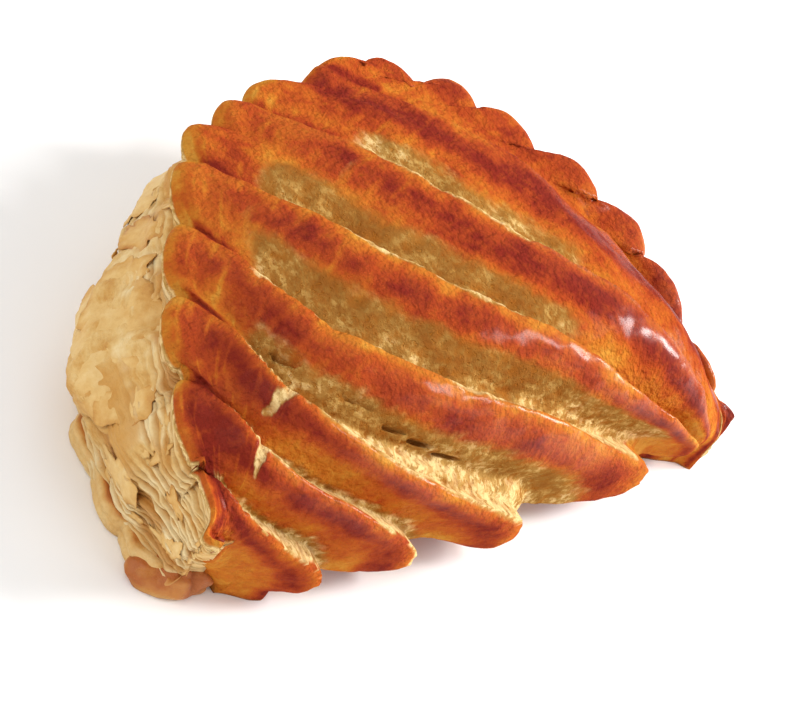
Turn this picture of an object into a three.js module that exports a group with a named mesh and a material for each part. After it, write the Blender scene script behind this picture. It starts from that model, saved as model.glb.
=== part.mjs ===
// A baked puff pastry turnover: a fluted round of dough folded over a filling, egg-washed and
// slashed in curved cuts that opened in the oven. It is one piece of food, so it is one closed body.
//
// Millimetres, +Z up. The folded side runs along X on the -Y side, from the tall near corner at -X
// to the thin pinched tip at +X. The fluted, layered edge bows round on the +Y side.
import * as THREE from 'three';

// ---- Driving dimensions ----

// Outermost point of each flute of the top leaf, from the near corner round to the pinched tip.
// The first one is where a flute before the corner would be, folded under the pastry.
const FLUTE_TIPS = [
  [-66, -48, 25], [-65, -41, 28], [-62, -26, 29], [-55, -10, 30], [-47, 3, 31], [-36, 18, 31], [-27, 28, 31],
  [-16, 33, 31], [-6, 37, 31], [16, 42, 31], [28, 42, 30], [43, 35, 29], [51, 26, 28],
  [60, 12, 27], [67, -1, 24], [68, -16, 22], [67, -33, 18], [71, -41, 13],
];
const FLUTE_DEPTH = 3;
const FLUTE_ROUNDNESS = 0.6;
const MEAN_LOBE = 0.6;
const TIP_NOTCH = FLUTE_TIPS.length - 1.5;
const EDGE_CENTRE = [4, -20];

// Each slash is a cubic curve in plan, from a notch of the fluted edge to the fold:
// which notch it starts at, its two bending points, and where along X it meets the fold.
const SLASHES = [
  { notch: 9.2, bend: [[48, 44], [72, 12]], foldX: 70.5 },
  { notch: 8.3, bend: [[24, 30], [59, 2]], foldX: 67 },
  { notch: 7, bend: [[2, 22], [32, -28]], foldX: 64 },
  { notch: 5, bend: [[-22, 12], [-11, -40]], foldX: 60 },
  { notch: 4, bend: [[-34, -9], [-40, -40]], foldX: 47 },
  { notch: 3, bend: [[-42, -16], [-56, -42]], foldX: 15 },
  { notch: 2, bend: [[-53, -27], [-58, -42]], foldX: -13 },
  { notch: 1, bend: [[-61, -37.5], [-55.5, -42.6]], foldX: -35 },
  { notch: 0, bend: [[-60.5, -43], [-54.5, -43.6]], foldX: -50 },
];
const BAND_COUNT = SLASHES.length - 1;

// How deep the valley beside each band is, from the band at the fluted edge to the near corner.
const VALLEY_DEPTH = [1.6, 2.4, 3.6, 4.6, 5.0, 6.0, 4.6, 4.0, 2.0];
const LIP_AT = 0.12;
const CREST_AT = 0.2;
const CREST_RISE = 1.08;
const SLOPE_END = 0.82;
const VALLEY_END = 0.9;
const VALLEY_SHARE = 0.55;
// Where the samples across one band lie: valley floor, its steep wall, the lip, the glazed slope.
const BAND_SAMPLES = [0, 0.06, 0.12, 0.26, 0.46, 0.68, 0.86];

// How far a slash has opened: a crease at the fluted edge, and closed again by this share of its
// length, counted by slash.
const CREASE_SHARE = 0.15;
const OPENS_FROM = 0.02;
const OPENS_BY = 0.25;
const SLASH_CLOSED_AT = [[0, 0.62], [1, 0.7], [2, 0.78], [3, 0.9], [4, 1.1], [8, 1.2]];
const SLASH_CLOSING = 0.18;

// The crown over the filling, and the rounded fold.
const CROWN_RISE = 7;
const CROWN_FULLNESS = 0.8;
const CROWN_HALF_LENGTH = 64;
const CROWN_DEPTH = 90;
const CROWN_CENTRE = [2, -48];
const FOLD_HEIGHT = 9;
const TUCK_HEIGHT = 2.5;
const FOLD_SHARE = 0.86;
const FOLD_CROWDING = 1.6;
const SLASH_STEPS = 44;
const NORMAL_STEP = 0.01;
// How much of the first band, at the fold, belongs to the pinched tip.
const TIP_WIDTH = 0.6;
// How much of the leaf's edge below the near corner still puffs.
const CORNER_WIDTH = 0.6;

// Sizes that change along X, as [x, size] pairs.
const EDGE_HEIGHT_ALONG_X = [
  [-70, 27], [-55, 30], [-30, 31], [10, 31], [40, 29.5], [52, 26.5], [60, 21.5], [70, 13],
];
const FOLD_LINE_ALONG_X = [
  [-72, -44], [-62, -45.5], [-50, -46], [-40, -47.3], [0, -48.3], [25, -46.5], [40, -45.5], [60, -44], [74, -42],
];
const FOLD_ROUND_ALONG_X = [[-70, 12], [-55, 18], [-30, 23], [20, 24], [50, 22], [62, 15], [74, 7]];
const FOLD_TUCK_ALONG_X = [[-50, 6], [-38, 8], [50, 8], [67, 0]];

// The layered side, by flute number: how far the bottom leaf reaches past the top leaf, and how
// far the middle layers have puffed out past both.
const LEAF_REACH = [
  [0, -5], [1, -2], [2, 2.5], [2.7, 5], [3.5, 3], [4.2, 0], [5, -2], [7, -3], [9, -4],
  [11, -3], [12.5, -1], [13.5, 0], [16.5, 0],
];
const PUFF = [
  [0, 1], [1, 2], [2, 4], [2.8, 7.5], [3.6, 8], [4.2, 5], [5, 4], [6, 4.5], [8, 4],
  [12, 1], [15, 0], [16.5, 0],
];
// Rings down the side: share of the height, share of the puff, share of the flutes,
// share of the bottom leaf's reach, and share of the bottom leaf's own scallops.
const SIDE_RINGS = [
  { drop: 0.07, puff: 0.05, flute: 1.0, reach: 0, scallop: 0 },
  { drop: 0.13, puff: -0.35, flute: 0.7, reach: 0, scallop: 0 },
  { drop: 0.24, puff: 0.5, flute: 0.6, reach: 0.15, scallop: 0 },
  { drop: 0.34, puff: 0.45, flute: 0.4, reach: 0.3, scallop: 0 },
  { drop: 0.45, puff: 0.95, flute: 0.25, reach: 0.5, scallop: 0 },
  { drop: 0.58, puff: 1.0, flute: 0.15, reach: 0.7, scallop: 0 },
  { drop: 0.71, puff: 0.6, flute: 0, reach: 0.85, scallop: 0.2 },
  { drop: 0.82, puff: 0.1, flute: 0, reach: 0.9, scallop: 0.4 },
  { drop: 0.9, puff: 0.25, flute: 0, reach: 1.0, scallop: 1.0 },
  { drop: 1.0, puff: 0, flute: 0, reach: 0.9, scallop: 0.8 },
];
const SCALLOP_DEPTH = 1.8;
const SCALLOPS_PER_FLUTE = 1.35;

// The middle of the resting face, which becomes the origin.
const BASE_CENTRE = [2.98, -3.94];

// ---- Small helpers ----

function sizeAlong(pairs, at) {
  if (at <= pairs[0][0]) return pairs[0][1];
  for (let i = 1; i < pairs.length; i += 1) {
    const [x0, y0] = pairs[i - 1];
    const [x1, y1] = pairs[i];
    if (at <= x1) return y0 + ((y1 - y0) * (at - x0)) / (x1 - x0);
  }
  return pairs[pairs.length - 1][1];
}

function smoothStep(from, to, at) {
  const t = THREE.MathUtils.clamp((at - from) / (to - from), 0, 1);
  return t * t * (3 - 2 * t);
}

// A smooth curve through evenly spaced values, read at a position between them.
function throughValues(values, at) {
  const last = values.length - 1;
  const i = Math.min(Math.floor(THREE.MathUtils.clamp(at, 0, last)), last - 1);
  const t = THREE.MathUtils.clamp(at, 0, last) - i;
  const before = i > 0 ? values[i - 1] : 2 * values[i] - values[i + 1];
  const after = i < last - 1 ? values[i + 2] : 2 * values[i + 1] - values[i];
  const slope = (values[i + 1] - before) * t;
  const bend = (2 * before - 5 * values[i] + 4 * values[i + 1] - after) * t * t;
  const twist = (3 * values[i] - before - 3 * values[i + 1] + after) * t * t * t;
  return 0.5 * (2 * values[i] + slope + bend + twist);
}

// ---- The fluted edge ----

function outwardAt(x, y) {
  const out = new THREE.Vector2(x - EDGE_CENTRE[0], y - EDGE_CENTRE[1]);
  return out.normalize();
}

// A point of the top leaf's edge. Whole numbers of notch are the notches between flutes.
function edgePoint(notch) {
  const at = notch + 0.5;
  const axis = (i) => FLUTE_TIPS.map((tip) => tip[i]);
  const point = new THREE.Vector3(...[0, 1, 2].map((i) => throughValues(axis(i), at)));
  const out = outwardAt(point.x, point.y);
  const lobe = Math.pow(Math.abs(Math.sin(Math.PI * notch)), FLUTE_ROUNDNESS);
  const inset = FLUTE_DEPTH * (1 - lobe);
  point.x -= out.x * inset;
  point.y -= out.y * inset;
  return point;
}

// ---- The glazed top leaf ----

// Height of the top before it was slashed, over a point in plan.
function domeHeight(x, y) {
  const along = (x - CROWN_CENTRE[0]) / CROWN_HALF_LENGTH;
  const across = (y - CROWN_CENTRE[1]) / CROWN_DEPTH;
  const fromCrown = Math.min(1, along * along + across * across);
  const crown = sizeAlong(EDGE_HEIGHT_ALONG_X, x) + CROWN_RISE * Math.pow(1 - fromCrown, CROWN_FULLNESS);
  const foldLine = sizeAlong(FOLD_LINE_ALONG_X, x);
  const inside = THREE.MathUtils.clamp((y - foldLine) / sizeAlong(FOLD_ROUND_ALONG_X, x), 0, 1);
  return FOLD_HEIGHT + (crown - FOLD_HEIGHT) * Math.sqrt(1 - (1 - inside) ** 2);
}

function bezier(a, b, c, d, t) {
  const u = 1 - t;
  return u * u * u * a + 3 * u * u * t * b + 3 * u * t * t * c + t * t * t * d;
}

// How far along a slash's plan curve a step is: steps crowd towards the steep fold. The last part
// of the steps runs round under the fold, except at the two ends of the pastry, where the curve
// takes all of them. ends is 1 there and 0 between.
function curveShare(along, ends) {
  const toFold = 1 - Math.pow(1 - Math.min(1, along / FOLD_SHARE), FOLD_CROWDING);
  const toEnd = 1 - Math.pow(1 - along, FOLD_CROWDING);
  return THREE.MathUtils.lerp(toFold, toEnd, ends);
}

// The slash curve in plan, before the fluted edge pulls on it.
function slashPlan(band, t) {
  const read = (pick) => throughValues(SLASHES.map(pick), band);
  const start = edgePoint(read((slash) => slash.notch));
  const foldX = read((slash) => slash.foldX);
  const foldY = sizeAlong(FOLD_LINE_ALONG_X, foldX);
  const bends = [0, 1].map((i) => [0, 1].map((axis) => read((slash) => slash.bend[i][axis])));
  const x = bezier(start.x, bends[0][0], bends[1][0], foldX, t);
  const y = bezier(start.y, bends[0][1], bends[1][1], foldY, t);
  const settle = (start.z - domeHeight(start.x, start.y)) * (1 - t) ** 3;
  return new THREE.Vector3(x, y, domeHeight(x, y) + settle);
}

// Beyond the last slash the leaf ends in the fluted edge itself, from that notch to the tip.
function lastEdgePoint(t) {
  const firstNotch = SLASHES[0].notch;
  return edgePoint(firstNotch + (TIP_NOTCH - firstNotch) * t);
}

// A point of the unslashed top leaf. band counts the slashes from the fluted edge to the near
// corner, and along runs from the fluted edge, at 0, over the top and round the fold, at 1.
function leafPoint(band, along) {
  const pull = 1 - smoothStep(0, 1, band);
  const ends = Math.max(pull, smoothStep(BAND_COUNT - 1, BAND_COUNT, band));
  const t = curveShare(along, ends);
  const point = slashPlan(band, t);
  if (pull > 0) point.addScaledVector(lastEdgePoint(t).sub(slashPlan(0, t)), pull);
  const tuck = (1 - ends) * Math.max(0, (along - FOLD_SHARE) / (1 - FOLD_SHARE));
  point.y += sizeAlong(FOLD_TUCK_ALONG_X, point.x) * tuck * tuck;
  point.z += (TUCK_HEIGHT - point.z) * tuck;
  return point;
}

// Which way the unslashed leaf faces, from points a small step to each side.
function leafNormal(band, along) {
  const b0 = Math.max(0, band - NORMAL_STEP);
  const b1 = Math.min(BAND_COUNT, band + NORMAL_STEP);
  const a0 = Math.max(0, along - NORMAL_STEP);
  const a1 = Math.min(1, along + NORMAL_STEP);
  const acrossBands = leafPoint(b1, along).sub(leafPoint(b0, along));
  const alongBand = leafPoint(band, a1).sub(leafPoint(band, a0));
  return alongBand.cross(acrossBands).negate().normalize();
}

// The cut through a band: a raised lip, a rounded glazed slope, then the valley of the next slash.
function bandSection(band) {
  const across = (((band - LIP_AT) % 1) + 1) % 1;
  if (band <= LIP_AT) return 1;
  if (across <= SLOPE_END) {
    const fall = CREST_RISE / (SLOPE_END - CREST_AT) ** 2;
    return CREST_RISE - fall * (across - CREST_AT) ** 2;
  }
  return smoothStep(VALLEY_END, 1, across);
}

// Slashes start as creases at the fluted edge, and near the tip they close before the fold.
function slashOpening(band, along) {
  const opened = CREASE_SHARE + (1 - CREASE_SHARE) * smoothStep(OPENS_FROM, OPENS_BY, along);
  const closed = sizeAlong(SLASH_CLOSED_AT, band);
  return opened * (1 - smoothStep(closed - SLASH_CLOSING, closed, along));
}

function crustPoint(band, along) {
  const depth = throughValues(VALLEY_DEPTH, band) * slashOpening(band, along);
  const height = depth * (bandSection(band) - VALLEY_SHARE);
  return leafPoint(band, along).addScaledVector(leafNormal(band, along), height);
}

// ---- The layered side and the resting face ----

// One column of the side, from a point of the top leaf's edge down to the resting face.
function sideColumn(top, notch, outward, share) {
  const puff = sizeAlong(PUFF, notch) * share;
  const reach = sizeAlong(LEAF_REACH, notch) * share;
  const lobe = Math.abs(Math.sin(Math.PI * notch)) ** FLUTE_ROUNDNESS;
  const scallop = Math.abs(Math.sin(Math.PI * notch * SCALLOPS_PER_FLUTE)) ** FLUTE_ROUNDNESS;
  return SIDE_RINGS.map((ring) => {
    const evenOut = FLUTE_DEPTH * (lobe - MEAN_LOBE) * (ring.flute - 1) * share;
    const scallops = SCALLOP_DEPTH * (scallop - MEAN_LOBE) * ring.scallop * share;
    const offset = ring.puff * puff + ring.reach * reach + evenOut + scallops;
    const x = top.x + outward.x * offset;
    const y = top.y + outward.y * offset;
    return new THREE.Vector3(x, y, top.z * (1 - ring.drop));
  });
}

// ---- The body ----

function bandPositions() {
  const positions = [];
  for (let band = 0; band < BAND_COUNT; band += 1) {
    BAND_SAMPLES.forEach((sample) => positions.push(band + sample));
  }
  positions.push(BAND_COUNT);
  return positions;
}

// The edge of the top leaf as one loop: along the fold, up the near corner, and round the flutes.
// Each place says which sample it is, its notch, the way out, and how much the side puffs there.
function edgeLoop(bands, points) {
  const lastBand = bands.length - 1;
  const front = new THREE.Vector2(0, -1);
  const notches = SLASHES.map((slash) => slash.notch);
  const outFrom = (i, j) => outwardAt(points[i][j].x, points[i][j].y);
  const loop = [];
  for (let i = 0; i < lastBand; i += 1) {
    const share = 1 - smoothStep(0, TIP_WIDTH, bands[i]);
    const outward = outFrom(i, SLASH_STEPS).lerp(front, 1 - share).normalize();
    loop.push({ i, j: SLASH_STEPS, notch: TIP_NOTCH, outward, share });
  }
  for (let j = SLASH_STEPS; j > 0; j -= 1) {
    const low = j / SLASH_STEPS;
    const outward = outFrom(lastBand, j).lerp(front, low).normalize();
    loop.push({ i: lastBand, j, notch: 0, outward, share: Math.max(0, 1 - low / CORNER_WIDTH) });
  }
  for (let i = lastBand; i > 0; i -= 1) {
    loop.push({ i, j: 0, notch: throughValues(notches, bands[i]), outward: outFrom(i, 0), share: 1 });
  }
  for (let j = 0; j < SLASH_STEPS; j += 1) {
    const along = j / SLASH_STEPS;
    const notch = notches[0] + (TIP_NOTCH - notches[0]) * curveShare(along, 1);
    loop.push({ i: 0, j, notch, outward: outFrom(0, j), share: 1 });
  }
  return loop;
}

function turnoverGeometry() {
  const bands = bandPositions();
  const vertices = [];
  const faces = [];
  const addVertex = (point) => {
    vertices.push(point.x - BASE_CENTRE[0], point.y - BASE_CENTRE[1], point.z);
    return vertices.length / 3 - 1;
  };
  const addQuad = (a, b, c, d) => faces.push(a, c, b, a, d, c);

  const points = bands.map((band) => {
    return Array.from({ length: SLASH_STEPS + 1 }, (_, j) => crustPoint(band, j / SLASH_STEPS));
  });
  const crust = points.map((column) => column.map(addVertex));
  for (let i = 0; i + 1 < bands.length; i += 1) {
    for (let j = 0; j < SLASH_STEPS; j += 1) {
      addQuad(crust[i][j], crust[i][j + 1], crust[i + 1][j + 1], crust[i + 1][j]);
    }
  }

  const loop = edgeLoop(bands, points);
  const rings = loop.map((place) => {
    const top = points[place.i][place.j];
    return sideColumn(top, place.notch, place.outward, place.share).map(addVertex);
  });
  loop.forEach((place, k) => {
    const next = (k + 1) % loop.length;
    const here = [crust[place.i][place.j], ...rings[k]];
    const there = [crust[loop[next].i][loop[next].j], ...rings[next]];
    for (let r = 0; r + 1 < here.length; r += 1) addQuad(here[r], here[r + 1], there[r + 1], there[r]);
  });

  const base = rings.map((ring) => ring[SIDE_RINGS.length - 1]);
  const outline = base.map((at) => new THREE.Vector2(vertices[3 * at], vertices[3 * at + 1]));
  const baseFaces = THREE.ShapeUtils.triangulateShape(outline, []);
  baseFaces.forEach(([a, b, c]) => faces.push(base[a], base[c], base[b]));

  const geometry = new THREE.BufferGeometry();
  geometry.setAttribute('position', new THREE.Float32BufferAttribute(vertices, 3));
  geometry.setIndex(faces);
  geometry.computeVertexNormals();
  return geometry;
}

function bakedCrust() {
  return new THREE.MeshStandardMaterial({ color: 0xb0602a, roughness: 0.45, metalness: 0 });
}

const pastry = new THREE.Group();
const turnover = new THREE.Mesh(turnoverGeometry(), bakedCrust());
turnover.name = 'turnover';
pastry.add(turnover);

export default pastry;
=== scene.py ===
# %% [markdown]
# # A fluted puff pastry turnover
#
# A turnover is one round of laminated dough with a fluted edge, folded over its filling. The top
# is washed with egg, slashed in long curved cuts and baked. Five things give it its looks, and
# each is a step here: the glazed top that the cuts have opened, the flaky wall of layers under
# the fluted edge, the bottom leaf that peeps out below it, the pinched toe at the near corner, and
# the loose skins and flakes on the side.
#
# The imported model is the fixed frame. Every piece is made in the same place and size as it, and
# together they stand in for its one node.

# %% Load the frame
import math
from functools import partial

import bmesh
import bpy
import numpy as np
from mathutils import Matrix, Vector


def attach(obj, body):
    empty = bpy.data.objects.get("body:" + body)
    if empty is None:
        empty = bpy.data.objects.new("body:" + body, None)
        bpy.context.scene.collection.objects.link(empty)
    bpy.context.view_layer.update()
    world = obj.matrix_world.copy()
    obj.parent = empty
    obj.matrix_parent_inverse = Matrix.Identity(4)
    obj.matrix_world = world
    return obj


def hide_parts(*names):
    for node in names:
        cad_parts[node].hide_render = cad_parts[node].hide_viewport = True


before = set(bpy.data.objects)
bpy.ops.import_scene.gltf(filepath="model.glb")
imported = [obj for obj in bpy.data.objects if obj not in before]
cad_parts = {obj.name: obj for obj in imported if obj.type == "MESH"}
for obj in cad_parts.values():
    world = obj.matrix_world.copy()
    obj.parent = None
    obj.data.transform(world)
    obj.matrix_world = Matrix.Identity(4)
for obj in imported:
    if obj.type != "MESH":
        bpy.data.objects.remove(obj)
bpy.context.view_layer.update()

# %% [markdown]
# ## Reading sizes and making dough uneven
#
# Baked dough is never even, so most shapes here are a formula plus a little noise. Sculpting by
# hand would look as uneven, but it couldn't be measured or made again. Sizes that change along the
# pastry are short lists of places and sizes, read by the helpers below.

# %% Sizes along the pastry, and smooth steps
MM = 0.001


def size_along(pairs, at):
    places, sizes = zip(*pairs)
    return np.interp(at, places, sizes)


def smooth_step(start, end, at):
    t = np.clip((at - start) / (end - start), 0, 1)
    return t * t * (3 - 2 * t)


def hump(middle, reach, at):
    """1 at the middle, smoothly down to 0 at reach on either side."""
    return smooth_step(0, 1, 1 - np.abs(at - middle) / reach)


def plateau(rise_from, rise_to, fall_from, fall_to, at):
    """0, then smoothly up to 1, and later smoothly down to 0 again."""
    return smooth_step(rise_from, rise_to, at) * smooth_step(fall_to, fall_from, at)


print("a quarter of the way, a smooth step is", float(smooth_step(0, 1, 0.25)))


# %% A smooth curve through a list of values
def through_values(values, at):
    """A smooth curve through evenly spaced values, read between them."""
    values = np.asarray(values, float)
    last = len(values) - 1
    at = np.clip(at, 0, last)
    i = np.minimum(np.floor(at).astype(int), last - 1)
    t = at - i
    ends = np.concatenate([[2 * values[0] - values[1]], values, [2 * values[-1] - values[-2]]])
    before, here, there, after = (ends[i + k] for k in range(4))
    slope = (there - before) * t
    bend = (2 * before - 5 * here + 4 * there - after) * t * t
    twist = (3 * here - before - 3 * there + after) * t ** 3
    return 0.5 * (2 * here + slope + bend + twist)


print("halfway from 2 to 4 in a longer row:", through_values([1, 2, 4, 3], np.array([1.5])))

# %% [markdown]
# ## Smooth noise
#
# The noise is a block of random numbers that is read smoothly, always from the same seed, so the
# pastry comes out the same each time. Blender's own noise textures could do this too, but a block
# of numbers can be read for all the places of a mesh at once. Dough is uneven at several sizes, so
# `uneven` adds up noises, each given as how strong it is, how wide, and its seed.

# %% Noise of one size, and of several
NOISE_CELLS = 61


def noise(places, cell, seed):
    """Smooth hills and hollows from -1 to 1, about cell apart, at an (n, 3) list of places."""
    block = np.random.default_rng(seed).uniform(-1, 1, (NOISE_CELLS,) * 3)
    places = np.asarray(places, float) / cell
    low = np.floor(places).astype(int)
    t = places - low
    t = t * t * (3 - 2 * t)
    total = np.zeros(len(places))
    for corner in np.ndindex(2, 2, 2):
        share = np.prod(np.abs(1 - np.array(corner) - t), axis=1)
        i, j, k = ((low + corner) % NOISE_CELLS).T
        total += share * block[i, j, k]
    return total


def uneven(places, *sizes):
    return sum(strength * noise(places, cell, seed) for strength, cell, seed in sizes)


noise_trial = noise(np.arange(600.0).reshape(200, 3), 7, 1)
print("noise at 200 places runs from", noise_trial.min().round(2), "to", noise_trial.max().round(2))

# %% [markdown]
# ## The shape that the dough was folded to
#
# Two numbers name a place on the top leaf. `band` counts the slashes, from the fluted edge at 0 to
# the near corner at 8. `along` runs from the fluted edge, at 0, over the crown and round under the
# fold, at 1. The leaf could be a bent plane with the slashes cut into it afterwards. Here the
# slashes are its grid lines instead, so every lip lies exactly on an edge of the mesh. These are
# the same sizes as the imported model's, in millimetres.
#
# The edge was cut with a fluted cutter. Its tips are a list of places, and a curve through them
# dips in at each notch. `notch` counts those notches.

# %% The fluted edge
FLUTE_TIPS = np.array([
    [-66, -48, 25], [-65, -41, 28], [-62, -26, 29], [-55, -10, 30], [-47, 3, 31], [-36, 18, 31],
    [-27, 28, 31], [-16, 33, 31], [-6, 37, 31], [16, 42, 31], [28, 42, 30], [43, 35, 29],
    [51, 26, 28], [60, 12, 27], [67, -1, 24], [68, -16, 22], [67, -33, 18], [71, -41, 13],
])
EDGE_CENTRE = np.array([4, -20])
FLUTE_DEPTH = 3
FLUTE_ROUNDNESS = 0.6
FAR_FLUTE_DEPTH = [(8, 0), (9.5, 1.6), (14.5, 1.6), (15.5, 0)]
FAR_FLUTE_BALANCE = 0.75


def outward(places):
    """The way out from the middle of the pastry, in plan."""
    away = places[:, :2] - EDGE_CENTRE
    return away / np.linalg.norm(away, axis=1)[:, None]


def lobe_at(notch):
    """0 at the notches between flutes and 1 at the middle of each flute."""
    return np.abs(np.sin(math.pi * notch)) ** FLUTE_ROUNDNESS


def tip_line(notch):
    """A smooth line over all the flute tips, before the notches between them."""
    return np.stack([through_values(column, notch + 0.5) for column in FLUTE_TIPS.T], -1)


def edge_point(notch):
    point = tip_line(notch)
    depth = FLUTE_DEPTH * (1 - lobe_at(notch))
    deeper = size_along(FAR_FLUTE_DEPTH, notch) * (FAR_FLUTE_BALANCE - lobe_at(notch) ** 2)
    point[:, :2] -= outward(point) * (depth + deeper)[:, None]
    return point


print("flutes:", len(FLUTE_TIPS), "first notch, mm:", edge_point(np.array([1.0])).round(1))

# %% The dome of the leaf before it was slashed
CROWN_CENTRE = (2, -48)
CROWN_HALF_LENGTH = 64
CROWN_DEPTH = 90
CROWN_RISE = 7
CROWN_FULLNESS = 0.8
EDGE_HEIGHT = [
    (-70, 27), (-55, 30), (-30, 31), (10, 31), (40, 29.5), (52, 26.5), (60, 21.5), (70, 13),
]
FOLD_LINE = [
    (-72, -44), (-62, -45.5), (-50, -46), (-40, -47.3), (0, -48.3), (25, -46.5), (40, -45.5),
    (60, -44), (74, -42),
]
FOLD_ROUND = [(-70, 12), (-55, 18), (-30, 23), (20, 24), (50, 22), (62, 15), (74, 7)]
FOLD_HEIGHT = 9


def dome_height(x, y):
    from_crown = ((x - CROWN_CENTRE[0]) / CROWN_HALF_LENGTH) ** 2
    from_crown = np.minimum(1, from_crown + ((y - CROWN_CENTRE[1]) / CROWN_DEPTH) ** 2)
    crown = size_along(EDGE_HEIGHT, x) + CROWN_RISE * (1 - from_crown) ** CROWN_FULLNESS
    inside = np.clip((y - size_along(FOLD_LINE, x)) / size_along(FOLD_ROUND, x), 0, 1)
    return FOLD_HEIGHT + (crown - FOLD_HEIGHT) * np.sqrt(1 - (1 - inside) ** 2)


print("height of the crown, mm:", dome_height(np.array([0.0]), np.array([-20.0])).round(1))

# %% The slash curves
BAND_COUNT = 8
SLASH_NOTCH = [9.2, 8.3, 7, 5, 4, 3, 2, 1, 0]
SLASH_FIRST_BEND = [
    [48, 44], [24, 30], [2, 22], [-22, 12], [-34, -9], [-42, -16], [-53, -27], [-61, -37.5],
    [-60.5, -43],
]
SLASH_SECOND_BEND = [
    [72, 12], [59, 2], [32, -28], [-11, -40], [-40, -40], [-56, -42], [-58, -42], [-55.5, -42.6],
    [-54.5, -43.6],
]
SLASH_FOLD_X = [70.5, 67, 64, 60, 47, 15, -13, -35, -50]
FOLD_SHARE = 0.86
FOLD_CROWDING = 1.6
TIP_NOTCH = len(FLUTE_TIPS) - 1.5


def curve_share(along, ends):
    """How far along its curve a place is, because rows crowd where the leaf turns under."""
    to_fold = 1 - (1 - np.minimum(1, along / FOLD_SHARE)) ** FOLD_CROWDING
    to_end = 1 - (1 - along) ** FOLD_CROWDING
    return to_fold + (to_end - to_fold) * ends


def slash_plan(band, t):
    """The slash curve at t from its notch to the fold, before the fluted edge pulls on it."""
    start = edge_point(through_values(SLASH_NOTCH, band))
    fold_x = through_values(SLASH_FOLD_X, band)
    corners = [start[:, :2]]
    for bends in (SLASH_FIRST_BEND, SLASH_SECOND_BEND):
        corners.append(np.stack([through_values(column, band) for column in zip(*bends)], -1))
    corners.append(np.stack([fold_x, size_along(FOLD_LINE, fold_x)], -1))
    u = 1 - t
    shares = (u ** 3, 3 * u * u * t, 3 * u * t * t, t ** 3)
    x, y = sum(share[:, None] * corner for share, corner in zip(shares, corners)).T
    settle = (start[:, 2] - dome_height(start[:, 0], start[:, 1])) * u ** 3
    return np.stack([x, y, dome_height(x, y) + settle], -1)


def far_notch(t):
    """Which notch of the far edge a place at t along that edge is at."""
    return SLASH_NOTCH[0] + (TIP_NOTCH - SLASH_NOTCH[0]) * t


print("bands:", BAND_COUNT, "between", len(SLASH_NOTCH), "slash curves")

# %% [markdown]
# ## Any place on the leaf
#
# The slash curves are blended into the far fluted edge at one end and tucked under at the fold. At
# the near corner the leaf had only air under it, so it sagged lower and a little inward.

# %% The leaf as one smooth surface
TUCK_HEIGHT = 2.5
FOLD_TUCK = [(-50, 6), (-38, 8), (50, 8), (67, 0)]
CORNER_SAGS_FROM = 6.8
CORNER_SAG = [(0, 0), (0.2, 1.2), (0.4, 4), (0.6, 5.5), (0.8, 6), (1, 5)]
CORNER_INWARD = [(0, 0), (0.4, 0.3), (0.8, 1.8), (1, 2.6)]
CORNER_TIP_FROM, CORNER_TIP_LENGTH = 7.4, 0.3
CORNER_TIP_SHIFT = np.array([-1.0, 1.1, -1.6])
SLOPE_STEP, SLOPE_BAND_STEP = 0.01, 0.04


def leaf_point(band, along):
    band = np.clip(band, 0, BAND_COUNT)
    pull = 1 - smooth_step(0, 1, band)
    ends = np.maximum(pull, smooth_step(BAND_COUNT - 1, BAND_COUNT, band))
    t = curve_share(along, ends)
    point = slash_plan(band, t)
    point += pull[:, None] * (edge_point(far_notch(t)) - slash_plan(np.zeros(len(t)), t))
    tuck = (1 - ends) * np.maximum(0, (along - FOLD_SHARE) / (1 - FOLD_SHARE))
    point[:, 1] += size_along(FOLD_TUCK, point[:, 0]) * tuck ** 2
    point[:, 2] += (TUCK_HEIGHT - point[:, 2]) * tuck
    very_tip = smooth_step(CORNER_TIP_FROM, BAND_COUNT, band) * smooth_step(CORNER_TIP_LENGTH, 0, along)
    point += very_tip[:, None] * CORNER_TIP_SHIFT
    corner = smooth_step(CORNER_SAGS_FROM, BAND_COUNT, band)
    point[:, 1] += corner * size_along(CORNER_INWARD, along)
    point[:, 2] -= corner * size_along(CORNER_SAG, along)
    return point


def leaf_normal(band, along):
    across = leaf_point(np.minimum(band + SLOPE_BAND_STEP, BAND_COUNT), along)
    across -= leaf_point(np.maximum(band - SLOPE_BAND_STEP, 0), along)
    length = leaf_point(band, np.minimum(along + SLOPE_STEP, 1))
    length -= leaf_point(band, np.maximum(along - SLOPE_STEP, 0))
    normal = -np.cross(length, across)
    return normal / np.linalg.norm(normal, axis=1)[:, None]


print("middle of the leaf, mm:", leaf_point(np.array([4.0]), np.array([0.5])).round(1))

# %% [markdown]
# ## What the oven did to the slashes
#
# Each cut leaves a sharp lip on one side. The glazed band rises from that lip, rounds over and
# falls to the next cut, where the dough has torn open into a porous, straw-coloured trough. So a
# section across one band is a steep pale cut face, a lip, a glazed back and a torn slope. `a` is
# the place in that section, from 0 to 1. The glaze ends sooner where a cut opened wider.

# %% How far each slash has opened
CREASE_SHARE = 0.15
OPENS_FROM, OPENS_BY = 0.02, 0.25
CLOSED_AT = [(0, 0.62), (1, 0.7), (2, 0.78), (3, 0.9), (4, 1.1), (8, 1.2)]
SLASH_CLOSING = 0.18


def slash_opening(band, along):
    opened = CREASE_SHARE + (1 - CREASE_SHARE) * smooth_step(OPENS_FROM, OPENS_BY, along)
    closed = size_along(CLOSED_AT, band)
    return opened * (1 - smooth_step(closed - SLASH_CLOSING, closed, along))


print("slash 4 at mid-length is open by", slash_opening(np.array([4.0]), np.array([0.5])))

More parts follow.
